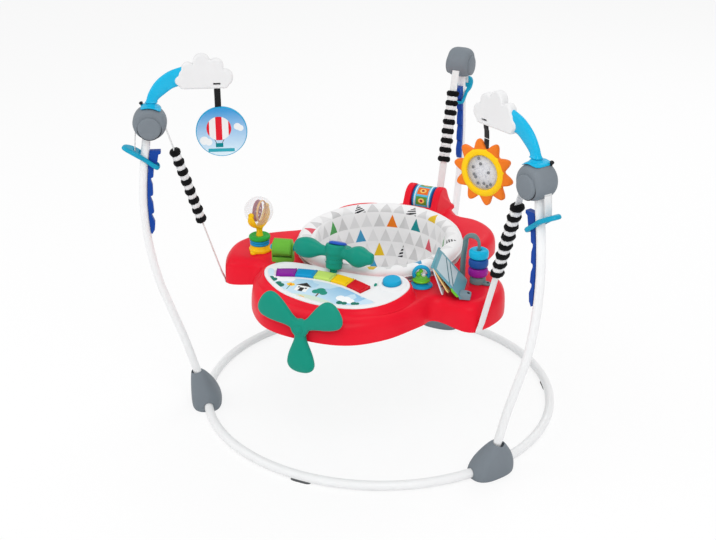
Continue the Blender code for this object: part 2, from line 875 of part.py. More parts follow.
def build_sleeve(name, site):
    length = (SLEEVE_TOP - SLEEVE_BOTTOM) / cos(sleeve_tilt())
    band = length / SLEEVE_BANDS
    profile = [(SLEEVE_SEAM, length)]
    for i in range(SLEEVE_BANDS):
        radius = SLEEVE_RADIUS if i % 2 else SLEEVE_SEAM
        profile.append((radius, length - (i + 0.5) * band))
    profile += [(SLEEVE_SEAM, 0.0), (SLEEVE_BORE, 0.0), (SLEEVE_BORE, length)]
    sleeve = turned(profile, 8, closed=True)
    place(
        sleeve,
        "sleeve_" + name,
        site,
        (strap_reach(SLEEVE_BOTTOM), 0, SLEEVE_BOTTOM),
        (0, sleeve_tilt(), 0),
    )
    return as_part(sleeve, "sleeve", 20)


def build_spring(name, site):
    radius = SLEEVE_BORE - RUN - SPRING_WIRE / 2
    per_turn = 8
    total = SPRING_TURNS * per_turn
    points = []
    for i in range(total + 1):
        turn = 2 * pi * i / per_turn
        rise = SPRING_LENGTH * i / total
        points.append((radius * cos(turn), radius * sin(turn), rise))
    spring = tube(points, SPRING_WIRE, smooth_path=False, sides_level=0)
    pitch = SPRING_LENGTH / SPRING_TURNS
    print("spring gap between turns", round((pitch - SPRING_WIRE) * 1000, 2), "mm")
    foot = SLEEVE_BOTTOM + 0.006
    place(
        spring,
        "spring_" + name,
        site,
        (strap_reach(foot), 0, foot),
        (0, sleeve_tilt(), 0),
    )
    return as_part(spring, "spring_steel", 60)


# Toy arms, clouds and hanging toys

def build_toy_arm(name, site):
    outline = [tuple(p) for p in smooth_path(ARM_OUTER, 3) + smooth_path(ARM_INNER, 2)]
    arm = upright(plate(by_hub(outline), ARM_THICKNESS))
    bevel(arm, 0.003, 1, 50)
    foot_height = HUB_HEIGHT + HUB_RADIUS + 0.003
    foot_reach = HUB_REACH + (ARM_OUTER[0][0] + ARM_INNER[-1][0]) / 2
    foot = cylinder(ARM_FOOT, 0.014, 16, "Z", (foot_reach, 0, foot_height))
    bevel(foot, 0.002, 1)
    place(foot, "arm_foot", arm)
    join(arm, foot)
    seat = cylinder(HUB_RADIUS + 2 * FIT, HUB_WIDTH * 2, 32, "Y", (HUB_REACH, 0, HUB_HEIGHT))
    place(seat, "hub_seat", arm)
    cut(arm, seat)
    place(arm, "toy_arm_" + name, site)
    return as_part(arm, "arm_cyan", 40)


def cloud_outline():
    """The outer edge of overlapping round puffs over a flat floor."""
    centre = Vector(CLOUD_MIDDLE)
    points = []
    count = 30
    for i in range(count):
        turn = 2 * pi * i / count
        ray = Vector((cos(turn), sin(turn)))
        reach = 0.0
        for across, height, radius in CLOUD_PUFFS:
            offset = Vector((across, height)) - centre
            along = offset.dot(ray)
            inside = radius ** 2 - (offset.length_squared - along ** 2)
            if inside > 0:
                reach = max(reach, along + inside ** 0.5)
        if ray.y < 0:
            reach = min(reach, (CLOUD_FLOOR - centre.y) / ray.y)
        points.append(tuple(centre + ray * reach))
    return points


def build_cloud(name, site):
    cloud = upright(plate(by_hub(cloud_outline()), CLOUD_THICKNESS))
    bevel(cloud, 0.0025, 1, 50)
    pocket = upright(plate(by_hub(arm_tip_outline()), ARM_THICKNESS + 2 * FIT))
    place(pocket, "arm_pocket", cloud)
    cut(cloud, pocket)
    width = HANG_STRAP_WIDTH + 4 * RUN
    slot = box((width, CLOUD_THICKNESS * 2, SLOT_GAP), (SLOT_REACH, 0, SLOT_HEIGHT))
    place(slot, "strap_slot", cloud)
    cut(cloud, slot)
    place(cloud, "cloud_" + name, site)
    return as_part(cloud, "cloud_white", 40)


def arm_tip_outline():
    """The arm's end with its clearance, which the cloud is cut by."""
    outer = offset_path(smooth_path(ARM_OUTER, 3), -FIT)
    inner = offset_path(smooth_path(ARM_INNER, 2), -FIT)
    outer[-1].x -= FIT
    inner[0].x -= FIT
    return [tuple(p) for p in outer + inner]


def hanging_pivot(name, site, height):
    """The band's lower end, which the hanging toy swings about."""
    return empty(name + "_pivot", site, (SLOT_REACH, 0, height + FIT))


def build_hanging_strap(name, site, foot_height):
    """A band through the cloud's slot, sewn together below it and thin at its end."""
    slot_floor = SLOT_HEIGHT - SLOT_GAP / 2
    floor = HUB_HEIGHT + CLOUD_FLOOR - slot_floor
    foot = foot_height + FIT - slot_floor
    thick = HANG_STRAP_THICKNESS
    half = CLOUD_THICKNESS / 2 + HANG_LOOP_SIDE
    inner = [
        (-half, FIT),
        (-half, floor - 0.002),
        (0.0, floor - 0.006),
        (half, floor - 0.002),
        (half, FIT),
    ]
    wide = half + thick
    left = [
        (-wide, FIT + thick),
        (-wide, floor - 0.003),
        (-thick, floor - 0.008),
        (-thick, foot + 0.003),
        (-HANG_STRAP_TIP / 2, foot),
    ]
    outer = left + [(-across, height) for across, height in reversed(left)]
    strap = upright(plate(outer, HANG_STRAP_WIDTH))
    strap.data.transform(Matrix.Rotation(pi / 2, 4, "Z"))
    hole = upright(plate(inner, HANG_STRAP_WIDTH * 2))
    hole.data.transform(Matrix.Rotation(pi / 2, 4, "Z"))
    place(hole, "band_inside", strap)
    cut(strap, hole)
    place(strap, name, site, (SLOT_REACH, 0, slot_floor))
    return as_part(strap, "black_webbing")


def build_hanging_disc(site):
    top = DISC_HEIGHT + DISC_RADIUS
    pivot = hanging_pivot("disc", site, top)
    drop = -DISC_RADIUS - FIT
    disc = cylinder(DISC_RADIUS, DISC_THICKNESS, 32, "Y", (0, 0, drop))
    bevel(disc, 0.0025, 1)
    place(disc, "hanging_disc", pivot)
    build_hanging_strap("disc_strap", site, top)
    return as_part(disc, "sky_disc")


def sun_outline(drop):
    points = []
    count = SUN_RAYS * 4
    for i in range(count):
        turn = 2 * pi * i / count
        reach = SUN_RADIUS + SUN_RAY * abs(cos(SUN_RAYS * turn / 2))
        points.append((reach * sin(turn), drop + reach * cos(turn)))
    return points


def build_hanging_sun(site):
    top = SUN_HEIGHT + SUN_RADIUS + SUN_RAY
    pivot = hanging_pivot("sun", site, top)
    drop = SUN_HEIGHT - top - FIT
    sun = upright(plate(sun_outline(drop), SUN_THICKNESS))
    depth = SUN_THICKNESS + 2 * SUN_RING
    ring = cylinder(SUN_RADIUS - 0.002, depth, 20, "Y", (0, 0, drop))
    place(ring, "sun_ring", sun)
    join(sun, ring)
    hole = cylinder(WINDOW_RADIUS, depth * 2, 20, "Y", (0, 0, drop))
    place(hole, "window_hole", sun)
    cut(sun, hole)
    turn = (0, 0, radians(SUN_TURN))
    place(sun, "hanging_sun", pivot, (0, 0, 0), turn)
    window = cylinder(WINDOW_RADIUS - FIT, WINDOW_THICKNESS, 20, "Y", (0, 0, drop))
    bevel(window, 0.003, 1)
    place(window, "sun_window", pivot, (0, 0, 0), turn)
    as_part(window, "clear")
    build_hanging_strap("sun_strap", site, top)
    return as_part(sun, "sun_orange")


# Tray shell with the tail roller's housing

def tray_value(angle, column):
    """Outline reach (1) or skirt height (2) at an angle from the nose, the same on both sides."""
    angle = abs((angle + 180.0) % 360.0 - 180.0)
    rows = TRAY_OUTLINE
    last = len(rows) - 1
    i = 0
    while i < last - 1 and rows[i + 1][0] < angle:
        i += 1

    def slope(k):
        if k in (0, last):
            return 0.0
        return (rows[k + 1][column] - rows[k - 1][column]) / (rows[k + 1][0] - rows[k - 1][0])

    width = rows[i + 1][0] - rows[i][0]
    t = (angle - rows[i][0]) / width
    return (
        (2 * t ** 3 - 3 * t ** 2 + 1) * rows[i][column]
        + (t ** 3 - 2 * t ** 2 + t) * width * slope(i)
        + (3 * t ** 2 - 2 * t ** 3) * rows[i + 1][column]
        + (t ** 3 - t ** 2) * width * slope(i + 1)
    )


def tray_angles():
    return TRAY_ANGLES + [360 - angle for angle in TRAY_ANGLES[-2:0:-1]]


def tray_loop(inset):
    """The outline moved inwards, as flat points from the nose round."""
    loop = []
    for angle in tray_angles():
        reach = tray_value(angle, 1)
        loop.append(Vector((reach * sin(radians(angle)), -reach * cos(radians(angle)))))
    moved = []
    for i, point in enumerate(loop):
        along = loop[(i + 1) % len(loop)] - loop[i - 1]
        along.normalize()
        moved.append(point + Vector((-along.y, along.x)) * inset)
    return moved


def tray_ring(inset, height):
    ring = []
    for angle, point in zip(tray_angles(), tray_loop(inset)):
        ring.append((point.x, point.y, height(tray_value(angle, 2))))
    return ring


def round_ring(radius, height):
    ring = []
    for angle in tray_angles():
        turn = radians(angle)
        ring.append((radius * sin(turn), -radius * cos(turn), height))
    return ring


def build_tray(origin):
    wall = TRAY_WALL
    under = TRAY_TOP - wall
    rings = [
        tray_ring(0.0, lambda skirt: skirt),
        tray_ring(0.0005, lambda skirt: TRAY_TOP - 0.017),
        tray_ring(0.005, lambda skirt: TRAY_TOP - 0.005),
        tray_ring(0.015, lambda skirt: TRAY_TOP),
        round_ring(SEAT_HOLE, TRAY_TOP),
        round_ring(SEAT_HOLE, under),
        tray_ring(0.014, lambda skirt: under),
        tray_ring(0.0005 + wall, lambda skirt: TRAY_TOP - 0.016),
        tray_ring(wall, lambda skirt: skirt),
    ]
    shell = mesh_object("tray_shell", rings_to_mesh(rings, close_rings=True))
    add_housing(shell)
    axle_y = -TRAY_OUTLINE[0][1]
    bore = cylinder(AXLE_RADIUS + FIT, 0.040, 12, "Y", (0, axle_y, PROP_HEIGHT))
    place(bore, "axle_bore", shell)
    cut(shell, bore)
    place(shell, "tray_shell", origin)
    return as_part(shell, "red", 40)


def add_housing(shell):
    reach = ROLLER_RADIUS + HOUSING_RIM
    foot = TRAY_TOP - TRAY_WALL / 2
    outline = [(ROLLER_Y - 0.060, foot), (ROLLER_Y - 0.050, TRAY_TOP + 0.004)]
    for i in range(9):
        turn = radians(160 - 140 * i / 8)
        outline.append((ROLLER_Y + reach * cos(turn), ROLLER_Z + reach * sin(turn)))
    outline += [(ROLLER_Y + 0.046, TRAY_TOP + 0.005), (ROLLER_Y + 0.054, foot)]
    housing = upright(plate(outline, HOUSING_WIDTH))
    housing.data.transform(Matrix.Rotation(pi / 2, 4, "Z"))
    bevel(housing, 0.005, 1, 60)
    place(housing, "housing", shell)
    width = ROLLER_WIDTH + 2 * RUN
    well = upright(plate(roller_well_outline(), width))
    well.data.transform(Matrix.Rotation(pi / 2, 4, "Z"))
    place(well, "roller_well", shell)
    cut(housing, well)
    axle = cylinder(AXLE_RADIUS + FIT, width + 0.018, 12, "X", (0, ROLLER_Y, ROLLER_Z))
    place(axle, "roller_axle_bore", shell)
    cut(housing, axle)
    cut(shell, well)
    join(shell, housing)


def roller_well_outline():
    """The room for the roller: round below, open to the front, the back and above."""
    radius = ROLLER_RADIUS + 0.0015
    dip = radians(19)
    level = ROLLER_Z - radius * sin(dip)
    outline = [(ROLLER_Y - 0.1, level + 0.004)]
    for i in range(13):
        turn = pi + dip + (pi - 2 * dip) * i / 12
        outline.append((ROLLER_Y + radius * cos(turn), ROLLER_Z + radius * sin(turn)))
    outline += [
        (ROLLER_Y + 0.1, level + 0.004),
        (ROLLER_Y + 0.1, ROLLER_Z + 0.1),
        (ROLLER_Y - 0.1, ROLLER_Z + 0.1),
    ]
    return outline


def build_tail_roller(origin):
    roller = cylinder(ROLLER_RADIUS, ROLLER_WIDTH, 24, "X")
    bevel(roller, 0.0015, 1)
    axle = cylinder(AXLE_RADIUS, ROLLER_WIDTH + 0.018, 12, "X")
    place(axle, "axle", roller)
    join(roller, axle)
    place(roller, "tail_roller", origin, (0, ROLLER_Y, ROLLER_Z))
    return as_part(roller, "toy_cyan")


# Swivelling seat

def build_seat(origin):
    seat = empty("seat", origin)
    outer = SEAT_HOLE - 3 * RUN
    inner = SEAT_HOLE - RING_WALL
    top = TRAY_TOP + FIT
    ring = turned(
        [
            (SEAT_HOLE + RING_LIP_WIDTH, top + RING_LIP),
            (SEAT_HOLE + RING_LIP_WIDTH, top),
            (outer, top),
            (outer, TRAY_TOP - RING_DEPTH),
            (inner, TRAY_TOP - RING_DEPTH),
            (inner, top + RING_LIP),
        ],
        SEAT_STEPS,
        closed=True,
    )
    place(ring, "seat_ring", seat)
    as_part(ring, "seat_ring")
    build_seat_pad(seat)


def seat_profile():
    """Half section of the padded seat: rim roll, inner wall, floor and outer wall."""
    hook = TRAY_TOP + 2 * FIT + RING_LIP
    wall = SEAT_HOLE - RING_WALL - FIT
    inside = wall - SEAT_CLOTH - 0.005
    high, middle, low = SEAT_WALL_HEIGHTS
    return [
        (wall, hook),
        (SEAT_HOLE + 0.006, hook + 0.001),
        (SEAT_HOLE + RING_LIP_WIDTH, hook + 0.012),
        (SEAT_HOLE + 0.002, hook + 0.022),
        (SEAT_HOLE - 0.017, hook + 0.026),
        (inside - 0.002, hook + 0.010),
        (inside - 0.006, high),
        (inside - 0.014, middle),
        (inside - 0.042, low),
        (inside - 0.090, SEAT_FLOOR + SEAT_CLOTH),
        (SEAT_FLOOR_RADIUS - 0.004, SEAT_FLOOR + SEAT_CLOTH - 0.002),
        (SEAT_FLOOR_RADIUS - 0.004, SEAT_FLOOR - 0.002),
        (inside - 0.088, SEAT_FLOOR),
        (inside - 0.034, low - 0.006),
        (inside - 0.004, middle - 0.004),
        (wall - 0.004, high - 0.002),
    ]


def build_seat_pad(seat):
    rings = []
    for radius, height in seat_profile():
        ring = []
        for i in range(SEAT_STEPS):
            angle = 2 * pi * i / SEAT_STEPS
            back = (1 - cos(angle)) / 2
            lift = SEAT_BACK_RISE * back * max(0.0, min(1.0, (height - TRAY_TOP) / 0.02))
            ring.append((radius * sin(angle), -radius * cos(angle), height + lift))
        rings.append(ring)
    pad = mesh_object("seat_pad", rings_to_mesh(rings, close_rings=True))
    middle = SEAT_FLOOR + SEAT_CLOTH / 2 - 0.002
    floor = cylinder(SEAT_FLOOR_RADIUS, SEAT_CLOTH - 0.001, 16, "Z", (0, 0, middle))
    place(floor, "seat_floor", pad)
    join(pad, floor)
    for side in (-1, 1):
        turn = radians(side * LEG_HOLE_TURN)
        reach = LEG_HOLE_REACH
        spot = Vector((reach * sin(turn), -reach * cos(turn), LEG_HOLE_HEIGHT))
        leg = cylinder(LEG_HOLE_RADIUS, 2 * LEG_HOLE_RADIUS, 20)
        place(leg, "leg_hole", pad, spot, (radians(LEG_HOLE_TILT), 0, turn))
        cut(pad, leg)
    place(pad, "seat_pad", seat)
    return as_part(pad, "seat_cloth", 60)


# Propeller on the nose

def lobe(neck, bulge, reach, flat=1.0, steps=10):
    """A puffy arm that hangs from the origin along -Z."""
    profile = [
        (0.0, -0.006),
        (neck, -0.006),
        (neck + (bulge - neck) * 0.15, -reach * 0.32),
        (neck + (bulge - neck) * 0.88, -reach * 0.58),
        (bulge, -reach * 0.75),
        (bulge * 0.82, -reach * 0.89),
        (bulge * 0.42, -reach * 0.98),
        (0.0, -reach),
    ]
    piece = turned(profile, steps)
    piece.scale = (1.0, flat, 1.0)
    return piece


def build_propeller(origin):
    wall = -TRAY_OUTLINE[0][1]
    middle = wall - RUN - PROP_DEPTH / 2
    propeller = cylinder(PROP_HUB, PROP_DEPTH, 20, "Y")
    bevel(propeller, 0.005, 1)
    for turn in (0, 120, 240):
        blade = lobe(0.011, PROP_LOBE, PROP_REACH, PROP_THICKNESS)
        place(blade, "blade", propeller, (0, 0, 0), (0, radians(turn), 0))
        join(propeller, blade)
    axle = cylinder(AXLE_RADIUS, 0.030, 12, "Y", (0, 0.017, 0))
    place(axle, "axle", propeller)
    join(propeller, axle)
    place(propeller, "propeller", origin, (0, middle, PROP_HEIGHT))
    return as_part(propeller, "teal", 50)


# Music panel

def panel_top(y):
    return TRAY_TOP + PANEL_FRONT_RISE + PANEL_SLOPE * (y - PANEL_FRONT_Y)


def panel_spot(x, y, above=0.0):
    """A place on the sloping panel, in the panel's own frame."""
    along = (y - PANEL_FRONT_Y) / cos(atan2(PANEL_SLOPE, 1.0))
    return Vector((x, along, above))


def key_outline(first, last, margin):
    """A stretch of the key arc between two angles, with a margin round it."""
    middle = panel_spot(KEY_ARC_X, KEY_MIDDLE_Y)
    outline = []
    extra = degrees(margin / KEY_ARC)
    steps = 3 * max(1, round((last - first) / KEY_STEP))
    for radius, order in ((KEY_ARC + KEY_DEPTH / 2 + margin, 1), (KEY_ARC - KEY_DEPTH / 2 - margin, -1)):
        for i in range(steps + 1)[::order]:
            turn = radians(first - extra + (last - first + 2 * extra) * i / steps)
            outline.append((middle.x + radius * sin(turn), middle.y - KEY_ARC + radius * cos(turn)))
    return outline


def build_panel(tray):
    plane = empty(
        "panel_plane",
        tray,
        (0, PANEL_FRONT_Y, panel_top(PANEL_FRONT_Y)),
        (atan2(PANEL_SLOPE, 1.0), 0, 0),
    )
    panel = plate(PANEL_OUTLINE, 0.002, smooth_outline=True, resolution=2)
    for vertex in panel.data.vertices:
        if vertex.co.z > 0:
            vertex.co.z = panel_top(vertex.co.y)
        else:
            vertex.co.z = TRAY_TOP + FIT
    bevel(panel, 0.004, 1, 40)
    pocket_depth = KEY_HEIGHT * 0.55 + KEY_TRAVEL + 0.001
    span = KEY_STEP * KEY_COUNT / 2
    pocket = plate(key_outline(-span, span, RUN), pocket_depth * 2)
    place(pocket, "key_pocket", plane)
    cut(panel, pocket)
    spot = panel_spot(BUTTON_X, BUTTON_Y)
    well = cylinder(BUTTON_RADIUS + RUN, 0.018, 24)
    place(well, "button_well", plane, spot)
    cut(panel, well)
    track = box((SWITCH_WIDTH + 2 * RUN, SWITCH_LENGTH + SWITCH_TRAVEL + 2 * RUN, 0.008))
    place(track, "switch_track", plane, panel_spot(SWITCH_X, SWITCH_Y + SWITCH_TRAVEL / 2))
    cut(panel, track)
    stem = cylinder(STEM_NECK + RUN, 0.016, 20)
    place(stem, "stem_well", tray, wheel_spot(), (radians(-WHEEL_TILT), 0, 0))
    cut(panel, stem)
    place(panel, "music_panel", tray)
    as_part(panel, "panel_white", 40)
    build_keys(plane)
    build_button(plane)
    build_switch(plane)


def build_keys(plane):
    for i in range(KEY_COUNT):
        first = KEY_STEP * (i - KEY_COUNT / 2)
        middle = radians(first + KEY_STEP / 2)
        spot = panel_spot(KEY_ARC_X, KEY_MIDDLE_Y)
        spot.x += KEY_ARC * sin(middle)
        spot.y += KEY_ARC * cos(middle) - KEY_ARC
        key = plate(key_outline(first, first + KEY_STEP, -RUN / 2), KEY_HEIGHT)
        key.data.transform(Matrix.Translation((-spot.x, -spot.y, 0)))
        bevel(key, 0.0018, 1)
        place(key, "key_" + str(i + 1), plane, (spot.x, spot.y, -KEY_HEIGHT * 0.05))
        as_part(key, "key_" + str(i + 1))


def build_button(plane):
    button = cylinder(BUTTON_RADIUS, BUTTON_HEIGHT, 24)
    bevel(button, 0.0025, 1)
    place(button, "button", plane, panel_spot(BUTTON_X, BUTTON_Y, BUTTON_HEIGHT / 2 - BUTTON_SUNK))
    return as_part(button, "button_blue")


def build_switch(plane):
    switch = box((SWITCH_WIDTH, SWITCH_LENGTH, 0.0065))
    bevel(switch, 0.0012, 1)
    place(switch, "slide_switch", plane, panel_spot(SWITCH_X, SWITCH_Y, 0.0002))
    return as_part(switch, "teal")


# Steering wheel

def wheel_spot():
    return Vector((WHEEL_X, WHEEL_Y, panel_top(WHEEL_Y)))


def build_wheel(tray):
    hub_low = STEM_HEIGHT - 0.008
    hub_top = hub_low + WHEEL_HUB_HEIGHT
    stem = turned(
        [
            (0.0, hub_top),
            (WHEEL_HUB_RADIUS * 0.80, hub_top),
            (WHEEL_HUB_RADIUS, hub_top - 0.004),
            (WHEEL_HUB_RADIUS, hub_low + 0.007),
            (STEM_RADIUS, hub_low),
            (STEM_RADIUS, 0.0115),
            (STEM_NECK, 0.0085),
            (STEM_NECK, -0.006),
            (0.0, -0.006),
        ],
        20,
    )
    middle = hub_low + WHEEL_HUB_HEIGHT * 0.55
    for turn in (90, -90):
        arm = lobe(0.010, WHEEL_LOBE, WHEEL_REACH, 0.9)
        place(arm, "wheel_arm", stem, (0, 0, middle), (0, radians(turn), 0))
        join(stem, arm)
    drop = lobe(0.009, WHEEL_LOBE * 0.7, WHEEL_REACH * 0.78, 0.8)
    place(drop, "wheel_arm", stem, (0, 0, middle), (radians(WHEEL_DROP_TURN), 0, 0))
    join(stem, drop)
    place(stem, "steering_wheel", tray, wheel_spot(), (radians(-WHEEL_TILT), 0, 0))
    return as_part(stem, "teal", 50)


# Toys on the wings

def build_ball_toy(tray):
    spot = Vector((BALL_X, BALL_Y, TRAY_TOP + FIT))
    stand = turned(
        [
            (0.0, 0.062),
            (0.0075, 0.062),
            (0.0075, 0.043),
            (0.0250, 0.040),
            (0.0262, 0.034),
            (0.0240, 0.029),
            (0.0240, 0.019),
            (0.0210, 0.017),
            (0.0265, 0.005),
            (0.0265, 0.0),
            (0.0, 0.0),
        ],
        16,
    )
    for side in (-1, 1):
        ear = cylinder(0.007, 0.006, 12, location=(side * 0.029, 0, 0.0035))
        place(ear, "base_ear", stand, (0, 0, 0), (0, 0, radians(25)))
        join(stand, ear)
    arc = []
    reach = BALL_RADIUS + BALL_NECK
    for i in range(11):
        turn = pi * i / 10
        arc.append((0.0, reach * cos(turn), BALL_HEIGHT - reach * sin(turn)))
    fork = tube(arc, 0.0075, smooth_path=False, sides_level=1)
    place(fork, "fork", stand)
    join(stand, fork)
    for side in (-1, 1):
        length = BALL_NECK + 0.004 - FIT
        middle = BALL_RADIUS + FIT + length / 2
        boss = cylinder(0.0065, length, 12, "Y", (0, side * middle, BALL_HEIGHT))
        place(boss, "fork_boss", stand)
        join(stand, boss)
    place(stand, "ball_stand", tray, spot)
    as_part(stand, "yellow", 45)
    globe = ball(BALL_RADIUS, 18, 10)
    place(globe, "spinning_ball", tray, spot + Vector((0, 0, BALL_HEIGHT)), (pi / 2, 0, 0))
    as_part(globe, "clear", 60)


def build_lime_toy(tray):
    spot = Vector((LIME_X, LIME_Y, TRAY_TOP + FIT))
    turn = radians(LIME_TURN)
    stand = cylinder(0.0215, 0.006, 20, location=(0, 0, 0.003))
    bevel(stand, 0.002, 1)
    width = LIME_WIDTH + 2 * LIME_CHEEK
    low = LIME_HEIGHT - LIME_RADIUS - RUN
    neck = box((0.026, 0.018, low - 0.004), (0, 0, low / 2 + 0.002))
    place(neck, "neck", stand)
    join(stand, neck)
    bridge = box((width, 0.018, 0.0035), (0, 0, low - 0.00225))
    place(bridge, "bridge", stand)
    join(stand, bridge)
    for side in (-1, 1):
        across = side * (LIME_WIDTH / 2 + LIME_CHEEK / 2)
        height = LIME_HEIGHT - low + 0.012
        cheek = box((LIME_CHEEK, 0.0175, height), (across, 0, low - 0.003 + height / 2))
        place(cheek, "cheek", stand)
        join(stand, cheek)
        bore = cylinder(LIME_PIN + FIT, LIME_CHEEK * 2, 12, "X", (across, 0, LIME_HEIGHT))
        place(bore, "cheek_bore", stand)
        cut(stand, bore)
    place(stand, "lime_stand", tray, spot, (0, 0, turn))
    as_part(stand, "lime", 40)
    drum = cylinder(LIME_RADIUS, LIME_WIDTH - 2 * RUN, 16, "X")
    bevel(drum, 0.002, 1)
    axle = cylinder(LIME_PIN, LIME_WIDTH + 2 * LIME_CHEEK, 12, "X")
    place(axle, "axle", drum)
    join(drum, axle)
    place(drum, "lime_roller", tray, spot + Vector((0, 0, LIME_HEIGHT)), (0, 0, turn))
    as_part(drum, "lime", 30)


def build_bead_toy(tray):
    base = turned(
        [
            (0.0, 0.010),
            (0.012, 0.010),
            (0.015, 0.006),
            (BEAD_BASE, 0.002),
            (BEAD_BASE, 0.0),
            (0.0, 0.0),
        ],
        20,
    )
    arc = [(-BEAD_ARCH, 0.0, 0.004)]
    for i in range(7):
        turn = pi - pi * i / 6
        rise = BEAD_ARCH_TOP - BEAD_ARCH
        arc.append((BEAD_ARCH * cos(turn), 0.0, rise + BEAD_ARCH * sin(turn)))
    arc.append((BEAD_ARCH, 0.0, 0.004))
    arch = tube(arc, BEAD_ARCH_WIRE, smooth_path=False, sides_level=1)
    place(arch, "arch_wire", base)
    join(base, arch)
    bar = cylinder(0.0022, 2 * BEAD_ARCH, 8, "X", (0, 0, 0.018))
    place(bar, "bead_bar", base)
    join(base, bar)
    turn = radians(24)
    place(base, "bead_toy", tray, (BEAD_X, BEAD_Y, TRAY_TOP + FIT), (0, 0, turn))
    return as_part(base, "toy_cyan", 40)


def build_ring_stack(tray):
    site = empty("ring_stack", tray, (STACK_X, STACK_Y, TRAY_TOP + FIT), (0, 0, radians(STACK_TURN)))
    bend = STACK_SPAN * 0.42
    rise = STACK_TOP - bend - STACK_WIRE / 2
    path = [(-STACK_SPAN, 0.0, 0.002), (-STACK_SPAN, 0.0, STACK_TOP * 0.4)]
    for i in range(7):
        turn = pi - pi * i / 6
        path.append((-bend + bend * cos(turn), 0.0, rise + bend * sin(turn)))
    path.append((0.0, 0.0, 0.002))
    arch = tube(path, STACK_WIRE, smooth_path=False, sides_level=1)
    boss = cylinder(STACK_BASE, STACK_BASE_HEIGHT, 20, location=(0, 0, STACK_BASE_HEIGHT / 2))
    bevel(boss, 0.003, 1)
    place(boss, "boss", arch)
    join(arch, boss)
    foot = cylinder(0.009, 0.005, 12, location=(-STACK_SPAN, 0, 0.0025))
    place(foot, "arch_foot", arch)
    join(arch, foot)
    place(arch, "stack_arch", site)
    as_part(arch, "arch_grey", 40)
    bore = STACK_WIRE / 2 + RUN
    low = STACK_BASE_HEIGHT + FIT
    for i in range(STACK_COUNT):
        half = STACK_DISC / 2
        disc = turned(
            [
                (STACK_RADIUS - 0.004, half),
                (STACK_RADIUS, half - 0.004),
                (STACK_RADIUS, -half + 0.004),
                (STACK_RADIUS - 0.004, -half),
                (bore, -half),
                (bore, half),
            ],
            16,
            closed=True,
        )
        height = low + half + i * (STACK_DISC + FIT)
        place(disc, "stack_disc_" + str(i + 1), site, (0, 0, height))
        as_part(disc, "stack_" + str(i + 1), 40)


def build_leaf(slots, reach):
    """A stiff sheet that hangs from its own knuckles on the spine."""
    middle = -(reach + PAGE_START) / 2
    leaf = box((PAGE_THICKNESS, BOOK_LENGTH, reach - PAGE_START), (0, 0, middle))
    pitch = BOOK_LENGTH / KNUCKLE_SLOTS
    for slot in slots:
        across = (slot + 0.5) * pitch - BOOK_LENGTH / 2
        width = pitch - 2 * RUN
        knuckle = cylinder(SPINE_RADIUS, width, 10, "Y", (0, across, 0))
        place(knuckle, "knuckle", leaf)
        join(leaf, knuckle)
        tab = box((PAGE_THICKNESS * 0.8, width, PAGE_START), (0, across, -PAGE_START / 2 - FIT))
        place(tab, "knuckle_tab", leaf)
        join(leaf, tab)
    return leaf


def build_book(tray):
    spine = empty("book_spine", tray, (BOOK_X, BOOK_Y, BOOK_HEIGHT), (0, 0, radians(BOOK_TURN)))
    tilt = radians(COVER_ANGLE)
    drop = BOOK_HEIGHT - TRAY_TOP - FIT
    cover = build_leaf(COVER_SLOTS, COVER_REACH)
    clip = box((0.024, 0.026, 0.014), (drop * tan(tilt) + 0.004, CLIP_SHIFT, 0.007 - drop))
    bevel(clip, 0.003, 1)
    place(clip, "clip", cover, (0, 0, 0), (0, tilt, 0))
    join(cover, clip)
    floor = box((0.3, 0.3, 0.02), (0.1, 0, -drop - 0.01))
    place(floor, "tray_top", cover, (0, 0, 0), (0, tilt, 0))
    cut(cover, floor)
    place(cover, "book_cover", spine, (0, 0, 0), (0, -tilt, 0))
    as_part(cover, "cover_teal", 30)
    for name, (angle, slots, material) in PAGES.items():
        page = build_leaf(slots, PAGE_REACH)
        place(page, name, spine, (0, 0, 0), (0, -radians(angle), 0))
        as_part(page, material, 30)


# Assembly

def build_stand(origin):
    build_base_ring(origin)
    for name, angle in SITES.items():
        site = empty("site_" + name, origin, (0, 0, 0), (0, 0, radians(angle)))
        build_foot(name, site)
        build_post(name, site)
        build_hub(name, site)
        build_rack(name, site)
        build_collar(name, site)
        build_strap(name, site)
        build_sleeve(name, site)
        build_spring(name, site)
        if name != "rear":
            build_toy_arm(name, site)
            build_cloud(name, site)
        if name == "left":
            build_hanging_disc(site)
        if name == "right":
            build_hanging_sun(site)


def build_toy_tray(origin):
    tray = empty("tray", origin)
    build_tray(tray)
    build_tail_roller(tray)
    build_seat(tray)
    build_propeller(tray)
    build_panel(tray)
    build_wheel(tray)
    build_ball_toy(tray)
    build_lime_toy(tray)
    build_bead_toy(tray)
    build_ring_stack(tray)
    build_book(tray)


ring_centre = empty("ring_centre", None, (0, -(FRONT_EDGE + REAR_EDGE) / 2, 0))
build_stand(ring_centre)
build_toy_tray(ring_centre)
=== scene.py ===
import json
from math import atan2, cos, hypot, pi, radians, sin

import bmesh
import bpy
from mathutils import Matrix, Vector, noise


